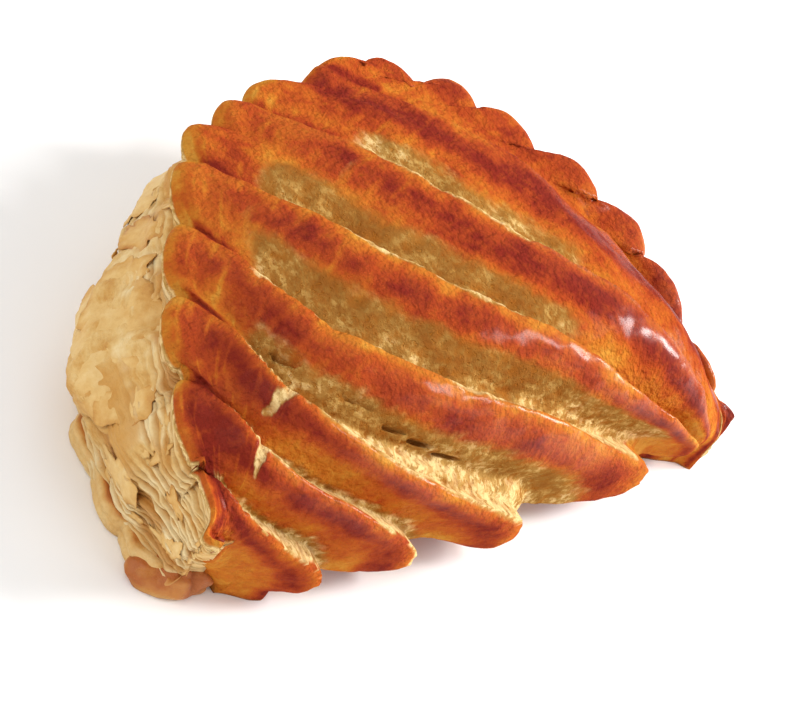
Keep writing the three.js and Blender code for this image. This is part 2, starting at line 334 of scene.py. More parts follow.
# %% Which band a place is in, and where in its section
SLASH_SHIFT = [0, 0, 0.10, 0.02, 0.12, 0.36, 0.24, 0.18, 0]
SHIFT_FROM, SHIFT_BY = 0.1, 0.3
WANDER_FROM, WANDER_BY = 0.02, 0.12
WANDER_LENGTH, WANDER_APART = 34, 7.3
WANDER, FINE_WANDER = 0.022, 0.008
ALMOST = 1e-6


def shifted_band(band, along):
    """Each opened cut pushed the lip below it along, and every cut runs a little unevenly."""
    shifted = band - through_values(SLASH_SHIFT, band) * smooth_step(SHIFT_FROM, SHIFT_BY, along)
    cut = np.floor(band + 0.3) * WANDER_APART
    line = np.stack([along * WANDER_LENGTH, cut, np.zeros(len(band))], -1)
    near_lip = smooth_step(0.3, 0.05, np.abs(shifted - np.round(shifted)))
    wander = WANDER * noise(line, 1.6, 11) + FINE_WANDER * noise(line, 0.4, 12) * near_lip
    free = np.minimum(1, np.minimum(band, BAND_COUNT - band) * 2)
    wander = wander * free * smooth_step(WANDER_FROM, WANDER_BY, along)
    return np.clip(shifted + wander, 0, BAND_COUNT)


def place_in_band(band, along):
    """The shifted band, the band's whole number, and the place in that band's section."""
    at = shifted_band(band, along)
    k = np.floor(np.minimum(at, BAND_COUNT - ALMOST))
    return at, k, at - k


print("band 4.6 becomes", shifted_band(np.array([4.6]), np.array([0.5])).round(2), "at mid-length")


# %% The height across a band
LEDGE_RISE = [0, 0, 0, 0, 0, 0.42, 0, 0, 0]
LEDGE_FROM, LEDGE_BY = 0.72, 0.97
LIP_FROM, LIP_BY = 0.01, 0.095
CREST_AT = 0.14
CREST_RISE = 1.06
FALL_END = [1.0, 0.97, 0.92, 0.88, 0.8, 0.98, 1.0, 1.0, 1.0]
FALL_ROUNDED = 0.4
FALL_CURVE = 1.35


def section_rise(k, a):
    """Height across one band, from 0 on the valley floor to about 1 on the crest."""
    ledges = np.array(LEDGE_RISE)
    foot, ledge = (ledges[np.clip(k + more, 0, BAND_COUNT).astype(int)] for more in (0, 1))
    wall = np.where(k == 0, 1, foot + (1 - foot) * smooth_step(LIP_FROM, LIP_BY, a))
    down = np.clip((a - CREST_AT) / (through_values(FALL_END, k) - CREST_AT), 0, 1)
    fall = FALL_ROUNDED * down * down * (3 - 2 * down) + (1 - FALL_ROUNDED) * down ** FALL_CURVE
    return CREST_RISE * (wall * (1 - fall) + ledge * smooth_step(LEDGE_FROM, LEDGE_BY, a))


print("heights across band 4:", section_rise(np.full(5, 4.0), np.linspace(0, 1, 5)).round(2))

# %% [markdown]
# ## The top leaf as one sheet
#
# The sheet starts as a flat grid, one unit square, with its columns across the bands and its rows
# along them. Its boundary is extruded into a skirt of rings. Then every vertex is moved by formula
# to where it lies on the pastry, and the last ring, which is flat on the table, is filled. A
# sculpted or remeshed body would need far more vertices for lips as sharp. Here they are crowded
# only where a lip is, and the whole crust is still one closed body.

# %% The flat grid with its skirt
BAND_SAMPLES = [
    0, 0.012, 0.024, 0.036, 0.05, 0.064, 0.078, 0.092, 0.108, 0.126, 0.148, 0.175, 0.205, 0.24,
    0.275, 0.31, 0.345, 0.38, 0.42, 0.46, 0.5, 0.54, 0.58, 0.62, 0.66, 0.7, 0.74, 0.78, 0.82, 0.86,
    0.9, 0.94, 0.975,
]
ROWS_ALONG = 236
SKIRT_RINGS = 5


def flat_grid(columns, rows):
    grid = bmesh.new()
    bmesh.ops.create_grid(grid, x_segments=columns, y_segments=rows, size=0.5)
    bmesh.ops.translate(grid, verts=grid.verts, vec=(0.5, 0.5, 0))
    return grid


def extrude_skirt(grid, rings):
    for ring in range(rings):
        rim = [edge for edge in grid.edges if edge.is_boundary]
        made = bmesh.ops.extrude_edge_only(grid, edges=rim)["geom"]
        moved = [part for part in made if isinstance(part, bmesh.types.BMVert)]
        bmesh.ops.translate(grid, verts=moved, vec=(0, 0, -1))


def grid_places(grid):
    return np.array([vert.co for vert in grid.verts])


crust_sheet = flat_grid(BAND_COUNT * len(BAND_SAMPLES), ROWS_ALONG)
extrude_skirt(crust_sheet, SKIRT_RINGS)
print("crust sheet:", len(crust_sheet.verts), "vertices,", len(crust_sheet.faces), "faces")

# %% Where each vertex of the sheet belongs
sheet_x, sheet_y, sheet_z = grid_places(crust_sheet).T
column_bands = [k + a for k in range(BAND_COUNT) for a in BAND_SAMPLES] + [BAND_COUNT]
crust_band = np.interp(sheet_x * (len(column_bands) - 1), range(len(column_bands)), column_bands)
crust_along = np.clip(sheet_y, 0, 1)
crust_ring = np.round(-sheet_z).astype(int)
print("columns:", len(column_bands), "rings below the sheet:", crust_ring.max())

# %% [markdown]
# ## Torn or glazed
#
# The same two numbers say where the egg wash is and where the dough is torn. They are kept as
# attributes on the mesh, so the finish follows the shape exactly. Painting them by hand or
# unwrapping the crust would be another way, but then a lip that moves would leave its paint behind.

# %% Cracks across the bands, and split blisters
LEAF_PLACE_SCALE = np.array([13.0, 125.0, 0.0])
BREAKS = [(5, 0.57, 0.27, -0.06, 0.20), (6, 0.40, 0.268, 0.02, 0.26)]
BREAK_HALF_WIDTH = 0.0115
SLITS = [(2.42, 0.17, 0.16, 0.0035), (3.16, 0.175, 0.15, 0.004), (3.5, 0.118, 0.2, 0.010)]
SLIT_SHARE = 0.36


def leaf_place(band, along):
    """Rough millimetres across and along the leaf, for noise that follows the bands."""
    return np.stack([band, along, band * 0], -1) * LEAF_PLACE_SCALE


def ellipse(u, w, middle_u, middle_w, half_u, half_w):
    """0 in the middle of a spot and 1 on its outline."""
    return ((u - middle_u) / half_u) ** 2 + ((w - middle_w) / half_w) ** 2


def broken_glaze(band, along):
    """The glaze has cracked right across two of the bands, and a few blisters have split."""
    k, a = np.floor(band), band - np.floor(band)
    ragged = 0.006 * noise(leaf_place(band, along), 1.6, 31)
    split = 0.9 * noise(leaf_place(band, along) * [0.4, 1, 1], 1.1, 38)
    broken = np.zeros(len(band))
    for at_band, middle, at_along, slant, half_length in BREAKS:
        line = at_along + slant * (a - middle) + 1.4 * ragged
        off_line = np.abs(along - line) / BREAK_HALF_WIDTH + 0.25 * split
        off_middle = np.abs(a - middle + 4 * ragged) / half_length
        crack = smooth_step(1.45, 0.6, off_line) * smooth_step(1.3, 0.8, off_middle)
        broken = np.maximum(broken, crack * (k == at_band))
    for slit in SLITS:
        reach = ellipse(band, along - ragged, *slit)
        broken = np.maximum(broken, SLIT_SHARE * smooth_step(1.9, 0.2, reach + split))
    return broken


print("breaks:", len(BREAKS), "split blisters:", len(SLITS))

# %% The torn dough in the slashes
GLAZE_END = [1.1, 0.64, 0.54, 0.46, 0.43, 0.84, 0.88, 1.2, 1.2]
GLAZE_CLOSES = (0.24, 0.35, 0.6)
TORN_FROM = [1.2, 0.75, 0.12, 0.09, 0.10, 0.14, 0.13, 0.08, 0.04]
TORN_TO = [1.3, 1.0, 0.44, 0.54, 0.82, 1.3, 1.3, 1.3, 1.3]
TEARING, HEALING = 0.05, 0.1
CUT_FACE_END = 0.106


def torn_share(band, along):
    """1 on torn dough and 0 on glaze, for all torn places and for the cut faces alone."""
    _, k, a = place_in_band(band, along)
    place = leaf_place(band, along)
    slash = np.where(a > 0.4, k + 1, k)
    starts = through_values(TORN_FROM, slash) + 0.012 * noise(place, 4, 32)
    ends = through_values(TORN_TO, slash) + 0.03 * noise(place, 6, 33)
    is_open = smooth_step(starts, starts + TEARING, along)
    is_open = is_open * (1 - smooth_step(ends - HEALING, ends, along))
    glaze_end = np.array(GLAZE_END)[k.astype(int)]
    glaze_end = glaze_end + GLAZE_CLOSES[0] * smooth_step(*GLAZE_CLOSES[1:], along) * (k == 2)
    ragged = uneven(place, (0.05, 5, 34), (0.035, 1.3, 35))
    slope = smooth_step(glaze_end - 0.1, glaze_end + 0.14, a + ragged)
    lip_edge = CUT_FACE_END + 0.028 * noise(place, 8, 37)
    cut_face = 1 - smooth_step(lip_edge - 0.02, lip_edge, a + 0.006 * noise(place, 1.5, 36))
    cut_face = cut_face * (k > 0)
    return np.maximum(slope, cut_face) * is_open, cut_face * is_open


open_places = np.linspace(0.1, 0.9, 5)
print("torn down slash 4:", torn_share(np.full(5, 3.9), open_places)[0].round(2))

# %% [markdown]
# ## The crust's relief
#
# The relief is added in this order: the section across the bands, creases between the flutes, the
# slow unevenness of risen dough, fine blisters under the glaze, and pores, strings and small caves
# in the torn dough. It is all in the mesh and not only in a bump map, so the lips cast shadows.

# %% Creases between the flutes
LEFT_CREASE_REACH = 5
FAR_CREASE_REACH = 3
FAR_CREASE_SHARE = 0.6


def flute_creases(band, along, point):
    """How near a notch between flutes a place is, and how far from the edge of the leaf."""
    nothing = np.zeros(len(band))
    left_distance = np.linalg.norm(point - leaf_point(band, nothing), axis=1)
    far_distance = np.linalg.norm(point - leaf_point(nothing, along), axis=1)
    left_lobe = lobe_at(through_values(SLASH_NOTCH, band))
    far_lobe = lobe_at(far_notch(curve_share(along, nothing + 1)))
    left = (1 - left_lobe) * np.exp(-left_distance / LEFT_CREASE_REACH)
    far = FAR_CREASE_SHARE * (1 - far_lobe) * np.exp(-far_distance / FAR_CREASE_REACH)
    return np.maximum(left, far), np.minimum(left_distance, far_distance)


# %% The slashed and risen surface
VALLEY_DEPTH = [1.4, 2.0, 3.0, 4.2, 4.6, 5.8, 4.4, 3.8, 2.0]
VALLEY_SHARE = 0.55
LIP_OVERHANG = 0.05
RISEN_UNEVENNESS = [(0.7, 17, 51), (0.4, 7, 52)]
CREASE_DEPTH = 1.5
EDGE_ROUNDING = 0.35
EDGE_PUFF = 0.7
INNER_PUFF = 0.35
UNDER_FOLD_DROP = 1.2


def crust_surface(band, along):
    """The slashed top leaf with its slow unevenness, in millimetres."""
    at, k, a = place_in_band(band, along)
    opening = slash_opening(at, along)
    depth = through_values(VALLEY_DEPTH, at) * opening
    overhang = LIP_OVERHANG * hump(0.085, 0.07, a) * opening * (k > 0)
    normal = leaf_normal(band, along)
    point = leaf_point(band - overhang, along)
    crease, edge_distance = flute_creases(band, along, point)
    height = depth * (section_rise(k, a) - VALLEY_SHARE)
    height += smooth_step(0, 6, edge_distance) * uneven(point, *RISEN_UNEVENNESS)
    height -= CREASE_DEPTH * crease + EDGE_ROUNDING * np.exp(-edge_distance / 0.9)
    height += EDGE_PUFF * np.exp(-edge_distance / 4) * (1 - crease)
    height += INNER_PUFF * np.exp(-((edge_distance - 3) / 2) ** 2) * (1 - crease)
    height -= UNDER_FOLD_DROP * smooth_step(0.7, 1, along) * smooth_step(1, 2, band)
    return point + normal * height[:, None], normal, edge_distance


surface, surface_normal, from_edge = crust_surface(crust_band, crust_along)
print("slashed leaf spans, mm:", np.ptp(surface, axis=0).round(1))

# %% Caves in the widest cuts
CAVES = [
    (4.78, 0.242, 0.055, 0.024, 3.0), (4.86, 0.372, 0.035, 0.024, 2.2),
    (4.95, 0.455, 0.03, 0.018, 2.0), (5.0, 0.51, 0.04, 0.02, 2.4),
    (5.05, 0.565, 0.035, 0.018, 1.8), (3.62, 0.27, 0.05, 0.012, 0.9),
]


def caves(band, along):
    deep = np.zeros(len(band))
    ragged = 0.55 * noise(leaf_place(band, along), 1.4, 41)
    for *spot_on_leaf, depth in CAVES:
        reach = ellipse(band, along, *spot_on_leaf)
        deep = np.maximum(deep, depth * smooth_step(1.5, 0.5, reach + ragged))
    return deep


print("caves:", len(CAVES), "the deepest, mm:", max(cave[-1] for cave in CAVES))

# %% Fine relief, and how pale the torn dough is
BLISTERS = [(0.15, 2.6, 61), (0.08, 1.2, 62)]
PORE_DEPTH, STRING_DEPTH = 0.32, 0.22
PALE_BY_BAND = [0.30, 0.30, 0.06, 0.12, 0.34, 0.34, 0.34, 0.34, 0.34]
PALE_FOOT, PALE_CUT_FACE, PALE_BREAK = 0.40, 0.8, 0.7


def dough_paleness(band, along, k, a, place, point):
    """How light the torn dough is: lighter at the foot of the slope, and on some bands."""
    foot = smooth_step(0.55, 0.97, a) * (0.7 + 0.6 * noise(place, 2.6, 69))
    pale = through_values(PALE_BY_BAND, k) + PALE_FOOT * foot
    pale = pale + 0.25 * smooth_step(0.45, 0.75, along) * (k == 3)
    pale = pale + 0.3 * smooth_step(0.72, 0.86, a) * (k == 4)
    return pale + 0.25 * noise(point, 5, 68)


def crust_detail(band, along, point):
    """Fine relief in millimetres, and the looks of each place."""
    torn, cut_face = torn_share(band, along)
    broken = broken_glaze(band, along)
    torn = np.maximum(torn, broken)
    _, k, a = place_in_band(band, along)
    place = leaf_place(band, along)
    strands = place * np.array([1, 0.45, 1])
    pores = smooth_step(0.15, 0.6, noise(point, 1.35, 63))
    pores = pores + 0.6 * smooth_step(0.2, 0.6, noise(point, 0.8, 64))
    strings = np.abs(noise(strands, 1.5, 65)) + 0.5 * np.abs(noise(strands, 0.7, 66))
    pulled = 1 - 0.8 * smooth_step(0.5, 0.75, along)
    dough = 0.2 - (PORE_DEPTH * pores + STRING_DEPTH * strings) * pulled
    dough = dough + 0.4 * noise(point, 3.4, 67)
    cave = caves(band, along)
    height = (1 - torn) * uneven(point, *BLISTERS) + torn * dough - 0.25 * broken - cave
    pale = dough_paleness(band, along, k, a, place, point) + 0.3 * (strings - 0.35)
    pale = pale + PALE_CUT_FACE * cut_face + PALE_BREAK * broken
    looks = {
        "glaze": 1 - torn,
        # Darker in the pores and caves: painted shade in those hollows.
        "pore": np.clip(torn * pores * 0.8 + cave / 1.6, 0, 1),
        "pale": np.clip(pale, 0, 1),
        "wet": (0.12 + 0.88 * smooth_step(0.25, 0.6, along)) * hump(0.22, 0.3, a),
    }
    return height, looks


relief, crust_looks = crust_detail(crust_band, crust_along, surface)
crust_looks["wet"] *= smooth_step(0.1, 0.7, surface_normal[:, 2])
print("fine relief, mm:", relief.min().round(2), "to", relief.max().round(2))

# %% [markdown]
# ## Browning of the glaze, with some painted highlights
#
# The oven browned the crests more than the slopes, and some bands more than others. The browning
# value is how far the glaze has baked, from orange at 0 to maroon at 1. It is the heat of the band,
# plus what the back of the band and the creases add, plus patches that are hotter or cooler than
# the rest, plus noise. Three of the cooler patches, over the middle and the right ends of the
# bands, and the lighter strip at each lip are partly painted highlights as well as browning.

# %% Heat over the leaf, with some painted highlights
HEAT_BY_BAND = [0.60, 0.54, 0.48, 0.44, 0.46, 0.48, 0.62, 0.56, 0.5]
HEAT_EVERYWHERE = 0.05
HEAT_AND_HIGHLIGHT_PATCHES = [
    (0.30, partial(smooth_step, 4.8, 5.6), partial(hump, 0.1, 0.13)),
    (0.14, partial(hump, 2.7, 1.2), partial(hump, 0.5, 0.25)),
    # This cooler patch is partly a painted highlight.
    (-0.12, partial(plateau, 2.4, 3.4, 5, 5.6), partial(hump, 0.5, 0.42)),
    (0.12, partial(smooth_step, 6.5, 7.2), partial(hump, 0.5, 0.4)),
    (0.02, partial(hump, 0, 1.3), np.ones_like),
    (0.14, partial(hump, 1.1, 0.6), partial(smooth_step, 0.4, 0.1)),
    # This cooler patch on the last bands is partly a painted highlight.
    (-0.26, partial(smooth_step, 4.7, 5.5), partial(hump, 0.5, 0.3)),
    # This cooler patch on the right ends of the bands is partly a painted highlight.
    (-0.10, partial(smooth_step, 0.5, 1.5), partial(smooth_step, 0.55, 0.8)),
    (-0.12, partial(hump, 3.1, 0.6), partial(hump, 0.28, 0.14)),
]
HEAT_BLOTCHES = [(0.20, 8, 71), (0.16, 3.2, 72), (0.08, 1.4, 73)]
CREASE_HEAT, STREAK_COOLING, EDGE_COOLING, TIP_HEAT = 0.45, 0.24, 0.25, 0.9


def band_heat_and_lip_highlight(a, band, along, edge_distance):
    """Heat that follows the section of the bands: hot backs, cool slopes, dark creases, and a lighter
    strip at the lip that is partly a painted highlight.
    """
    # The lighter strip at the lip, the -0.12 term, is partly a painted highlight.
    back = 0.42 * hump(0.33, 0.25, a) - 0.12 * hump(0.11, 0.05, a) - 0.22 * smooth_step(0.45, 0.75, a)
    slashed = smooth_step(0.08, 0.2, along) * smooth_step(0.6, 1.2, band)
    crease = (hump(0, 0.12, a) + hump(1, 0.14, a)) * (1 - smooth_step(0.07, 0.15, along))
    crease = crease * smooth_step(0.3, 2.2, edge_distance)
    return back * (0.35 + 0.65 * slashed) + CREASE_HEAT * crease


def browning_and_highlights(band, along, edge_distance, point):
    _, _, a = place_in_band(band, along)
    heat_and_highlight = through_values(HEAT_BY_BAND, band - 0.3) + HEAT_EVERYWHERE
    heat_and_highlight = heat_and_highlight + band_heat_and_lip_highlight(a, band, along, edge_distance) + uneven(point, *HEAT_BLOTCHES)
    # Some of these patches lower the heat over the bands to paint highlights.
    for amount, over_bands, over_length in HEAT_AND_HIGHLIGHT_PATCHES:
        heat_and_highlight += amount * over_bands(band) * over_length(along)
    streak = smooth_step(0.3, 0.8, noise(leaf_place(band, along) * [0.35, 1, 1], 1.2, 74))
    heat_and_highlight -= STREAK_COOLING * streak * smooth_step(0.5, 0.15, along)
    heat_and_highlight -= EDGE_COOLING * np.exp(-(edge_distance / 1.3) ** 2)
    heat_and_highlight += TIP_HEAT * smooth_step(66.5, 70.5, point[:, 0]) * smooth_step(-36, -40, point[:, 1])
    return np.clip(heat_and_highlight, 0, 1)


crust_looks["browned"] = browning_and_highlights(crust_band, crust_along, from_edge, surface)
print("browned on average:", crust_looks["browned"].mean().round(2))

# %% [markdown]
# ## Folding the sheet into the crust
#
# The skirt rings roll the leaf's rim over, tuck in under it, and go down to the table inside the
# flaky wall, where they aren't seen. Along the fold there is no rim, so there the rings just carry
# the rounded fold down to the table. A solidify modifier could give the leaf a thickness too, but
# it would leave the crust open below.

# %% Which way is out at the sheet's edge
TOWARDS_FOLD = np.array([0, -1])
TIP_WIDTH = 0.6


def leaning_out(point, lean):
    """The way out, turned towards the fold side by a share from 0 to 1."""
    lean = lean[:, None]
    out = outward(point) * (1 - lean) + TOWARDS_FOLD * lean
    return out / np.linalg.norm(out, axis=1)[:, None]


def way_out(band, along, point):
    """Which way is out at the sheet's edge, and how much of a rim there is, from 0 to 1."""
    on_fold = (along > 1 - ALMOST) & (band < BAND_COUNT - ALMOST)
    on_corner = (band > BAND_COUNT - ALMOST) & ~on_fold
    tip = 1 - smooth_step(0, TIP_WIDTH, band)
    rim = np.where(on_fold, tip, np.where(on_corner, 1 - along, 1))
    lean = np.where(on_fold, 1 - tip, np.where(on_corner, along, 0))
    return leaning_out(point, lean), rim


# %% The skirt
SKIRT_OUT = np.array([0, 0.45, 0.6, 0.3, -2.2, -4.5])
SKIRT_DROP = np.array([0, 0.5, 1.3, 2.1, 2.5, 0])
CORNER_FROM, CORNER_BY = 6.6, 7.8
CORNER_INSET = np.array([0, 0, 0, 0.5, 0.3, 13])
CORNER_DROP = np.array([0, 0, 0, 0.3, 2.5, 0])
CORNER_SKIRT_INWARD = np.array([0, 0, 0, 0, 1.0, 6.0])
CORNER_TUCK = 0.9
FULL_DROP_HEIGHT = 8


def crust_skirt(point, band, along, ring):
    out, rim = way_out(band, along, point)
    point = point.copy()
    near_corner = smooth_step(CORNER_FROM, CORNER_BY, band)
    tuck_in = SKIRT_OUT[ring] - CORNER_INSET[ring] * near_corner
    point[:, :2] += out * (tuck_in * rim)[:, None]
    point[:, 1] += CORNER_SKIRT_INWARD[ring] * near_corner * rim
    drop = SKIRT_DROP[ring] + CORNER_DROP[ring] * near_corner
    drop = drop * np.where(rim > 0, np.minimum(1, point[:, 2] / FULL_DROP_HEIGHT), 0)
    fold_drop = point[:, 2] * ring / SKIRT_RINGS
    tucked = (1 - rim) * np.maximum(0, point[:, 2] - TUCK_HEIGHT) * CORNER_TUCK
    point[:, 1] += tucked * (ring / SKIRT_RINGS) ** 2
    point[:, 2] -= drop * rim + fold_drop * (1 - rim)
    point[ring == SKIRT_RINGS, 2] = 0
    return point


SETTLED_HEIGHT = 6
surface += surface_normal * (relief * smooth_step(0, SETTLED_HEIGHT, surface[:, 2]))[:, None]
crust_places = crust_skirt(surface, crust_band, crust_along, crust_ring)
crust_places[:, 2] = np.maximum(crust_places[:, 2], 0)
print("crust spans, mm:", np.ptp(crust_places, axis=0).round(1))

# %% From a shaped grid to a finished piece
BASE_CENTRE = (2.98, -3.94)


def place_vertices(mesh_edit, places):
    """Moves the vertices to places in millimetres, from the middle of the base as the origin."""
    for vert, place in zip(mesh_edit.verts, places):
        vert.co = (place - (*BASE_CENTRE, 0)) * MM


def finish_piece(mesh_edit, name, looks):
    bmesh.ops.recalc_face_normals(mesh_edit, faces=mesh_edit.faces)
    for face in mesh_edit.faces:
        face.smooth = True
    mesh = bpy.data.meshes.new(name)
    mesh_edit.to_mesh(mesh)
    mesh_edit.free()
    for look, values in looks.items():
        layer = mesh.attributes.new(look, "FLOAT", "POINT")
        layer.data.foreach_set("value", np.asarray(values, np.float32))
        print("   ", look, "from", np.min(values).round(2), "to", np.max(values).round(2))
    piece = bpy.data.objects.new(name, mesh)
    bpy.context.scene.collection.objects.link(piece)
    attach(piece, "root")
    print(name, "has", len(mesh.polygons), "faces")
    return piece


# %% The crust as a closed body
UNWASHED_RING = 2
UNWASHED_PALENESS = 0.9
FULL_RIM = 0.9

place_vertices(crust_sheet, crust_places)
base_rim = [edge for edge in crust_sheet.edges if edge.is_boundary]
base_face = bmesh.ops.holes_fill(crust_sheet, edges=base_rim, sides=0)["faces"]
bmesh.ops.triangulate(crust_sheet, faces=base_face)
on_rim = way_out(crust_band, crust_along, surface)[1] > FULL_RIM
unwashed = (crust_ring >= UNWASHED_RING) & on_rim
crust_looks["glaze"] = np.where(unwashed, 0, crust_looks["glaze"])
crust_looks["pale"] = np.where(unwashed, UNWASHED_PALENESS, crust_looks["pale"])
crust_looks["underside"] = (crust_ring == SKIRT_RINGS).astype(float)
glazed_crust = finish_piece(crust_sheet, "glazed_crust", crust_looks)
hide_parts("turnover")

# %% [markdown]
# ## The flaky wall
#
# Under the fluted edge the side shows the dough's layers, dozens of thin sheets with air between
# them. They could be dozens of separate sheets, but those would cross each other and stay open at
# their backs. The wall is one band of mesh that follows the edge round. Its rows come in fours: the
# inner corner, the top edge, the lower edge and the inner corner of one sheet. The rows close into
# a tube, so the wall is solid.

# %% The path round the side
CORNER_PART = 0.10
LEFT_PART = 0.58
PATH_LENGTH = 265.0
WALL_HEIGHT = 28.0
CORNER_WALL_PART = 0.6


def side_path(s):
    """The rim at s, from the foot of the near corner, round the flutes, to the pinched tip."""
    s = np.clip(s, 0, 1)
    along = np.where(s < CORNER_PART, 1 - s / CORNER_PART, (s - LEFT_PART) / (1 - LEFT_PART))
    along = np.clip(np.where((s >= CORNER_PART) & (s < LEFT_PART), 0, along), 0, 1)
    band = BAND_COUNT * (1 - (s - CORNER_PART) / (LEFT_PART - CORNER_PART))
    band = np.clip(band, 0, BAND_COUNT)
    rim_point, _, _ = crust_surface(band, along)
    corner = s < CORNER_PART
    out = leaning_out(rim_point, np.where(corner, along, 0))
    notch = np.where(s < LEFT_PART, through_values(SLASH_NOTCH, band), 0)
    notch = np.where(s >= LEFT_PART, far_notch(curve_share(along, np.ones(len(s)))), notch)
    share = np.where(corner, np.maximum(0, 1 - along / CORNER_WALL_PART), 1)
    return rim_point, out, notch, share


def on_wall(s, drop, tall=1.0):
    """Millimetres round and down the wall, for noise that follows it."""
    return np.stack([s * PATH_LENGTH, drop * WALL_HEIGHT / tall, s * 0], -1)


print("side path spans, mm:", np.ptp(side_path(np.linspace(0, 1, 50))[0], axis=0).round(1))

# %% How far the wall stands out below the rim
PUFF = [
    (0, 1), (1, 2), (2, 3.6), (2.8, 6.2), (3.6, 6.6), (4.2, 5.4), (5, 4.6), (6, 4), (8, 4), (12, 1),
    (15, 0), (16.5, 0),
]
LEAF_REACH = [
    (0, -5), (1, -3.4), (2, 0.8), (2.7, 4.4), (3.5, 2.6), (4.2, 0), (5, -2), (7, -3), (9, -4),
    (11, -3), (12.5, -1), (13.5, 0), (16.5, 0),
]
WALL_DROP = [0, 0.07, 0.13, 0.24, 0.34, 0.45, 0.58, 0.71, 0.82, 0.9, 1]
WALL_PUFF = [0, 0.02, -0.2, 0.35, 0.5, 0.95, 1.0, 0.6, 0.1, 0.1, 0]
WALL_REACH = [0, 0, 0, 0.15, 0.3, 0.5, 0.7, 0.85, 0.9, 0.95, 0.9]
CORNER_UNDERCUT = [
    (0, 12), (0.05, 10.5), (0.09, 10.0), (0.115, 6.5), (0.14, 2.9), (0.17, 0.8), (0.2, 0),
]
UNDERCUT_CURVE = 0.8


def wall_offset(s, notch, drop, share):
    puff = size_along(PUFF, notch) * np.interp(drop, WALL_DROP, WALL_PUFF)
    reach = size_along(LEAF_REACH, notch) * np.interp(drop, WALL_DROP, WALL_REACH)
    undercut = size_along(CORNER_UNDERCUT, s) * drop ** UNDERCUT_CURVE
    return (puff + reach) * share - undercut


half_way = np.array([0.5])
print("half-way down at notch 3 the wall stands out", wall_offset(half_way, half_way * 6, half_way, 1))

# %% A place on the wall
MEAN_LOBE = 0.6
EVEN_FROM_DROP = 0.42
CORNER_BASE_INWARD, CORNER_BASE_REACH = 3.5, 0.045
UNDER_RIM, UNDER_CORNER_RIM = 1.6, 2.5
CORNER_WALL_INSET = 3.5
TOP_INSET = 0.9
LOW_RIM = 12


def corner_inward(s):
    return CORNER_BASE_INWARD * hump(CORNER_PART, CORNER_BASE_REACH, s)


def evened_rim(s, notch, rim_point, drop):
    """The rim, but with its flutes fading out as the wall goes down."""
    even = tip_line(notch)
    even[:, :2] -= outward(even) * FLUTE_DEPTH * (1 - MEAN_LOBE)
    share = smooth_step(0, EVEN_FROM_DROP, drop) * smooth_step(CORNER_PART, CORNER_PART + 0.04, s)
    share = share * (1 - smooth_step(0.96, 1, s))
    evened = rim_point + (even - rim_point) * share[:, None]
    evened[:, 1] += corner_inward(s) * drop
    return evened


def wall_place(s, drop, proud):
    """A place on the wall at s round the side and drop of the way down, standing proud of it."""
    rim, out, notch, share = side_path(s)
    rim = evened_rim(s, notch, rim, drop)
    at_corner = smooth_step(1.04 * CORNER_PART, 0.6 * CORNER_PART, s)
    below_rim = (UNDER_RIM + UNDER_CORNER_RIM * at_corner) * np.minimum(1, rim[:, 2] / LOW_RIM)
    inset = TOP_INSET * (1 - drop) + CORNER_WALL_INSET * at_corner
    offset = wall_offset(s, notch, drop, share) - inset + proud
    place = rim.copy()
    place[:, :2] += out * offset[:, None]
    place[:, 2] = (rim[:, 2] - below_rim) * (1 - drop)
    return place


# %% [markdown]
# ## Stuck, stained, shaded and pale places
#
# In patches the sheets have stuck together to a smooth, crumpled skin, and one patch near the
# corner has blown up to a blister. Other patches have browned, or stayed cream. The amber patches
# are partly browning and partly painted shade, where they sit just under the rim and in a fold of
# the wall. Each patch is an oval: its notch, how far down it is, and its half-width and half-height
# in the same measures.

# %% The patches
BLISTER = (3.0, 0.45, 1.05, 0.19)
STRANDS = (0.9, 0.6, 0.8, 0.55)
STAINS = [
    (2.12, 0.10, 0.16, 0.07), (1.12, 0.11, 0.16, 0.06), (0.42, 0.50, 0.13, 0.07),
    (2.75, 0.12, 0.2, 0.05), (1.35, 0.60, 0.3, 0.07), (2.2, 0.62, 0.35, 0.06),
    (0.9, 0.75, 0.5, 0.06), (4.4, 0.30, 0.3, 0.06), (3.7, 0.12, 0.12, 0.06), (5.6, 0.42, 0.5, 0.07),
    (7.4, 0.3, 0.5, 0.08), (10.4, 0.4, 0.7, 0.09), (12.6, 0.3, 0.6, 0.1), (14.4, 0.5, 0.8, 0.12),
]
# Amber patches: partly browning, partly painted shade under the rim and in a fold of the wall.
AMBER_AND_SHADE_PATCHES = [
    (2.27, 0.42, 0.45, 0.14), (4.9, 0.13, 0.3, 0.08), (3.45, 0.14, 0.3, 0.07),
    (1.83, 0.52, 0.3, 0.08), (2.75, 0.64, 0.3, 0.08), (1.5, 0.25, 0.2, 0.05), (5.3, 0.2, 0.3, 0.08),
    (6.6, 0.3, 0.5, 0.12), (8.6, 0.3, 0.6, 0.14), (10.9, 0.55, 0.6, 0.12), (13.1, 0.6, 0.5, 0.14),
]
CREAM_PATCHES = [
    (1.18, 0.42, 0.3, 0.12), (0.75, 0.55, 0.3, 0.12), (2.7, 0.28, 0.2, 0.06), (2.0, 0.3, 0.25, 0.07),
    (3.9, 0.3, 0.35, 0.1), (1.6, 0.8, 0.3, 0.08), (6.0, 0.6, 0.6, 0.12), (9.5, 0.5, 0.7, 0.12),
    (12.0, 0.6, 0.5, 0.1),
]


def spot(notch, drop, place, ragged=0.0):
    return smooth_step(1.7, 0.4, ellipse(notch, drop, *place) + ragged)


def patches_of(places, s, notch, drop):
    ragged = 0.5 * noise(on_wall(s, drop), 2.0, 79)
    return np.max([spot(notch, drop, place, ragged) for place in places], axis=0)


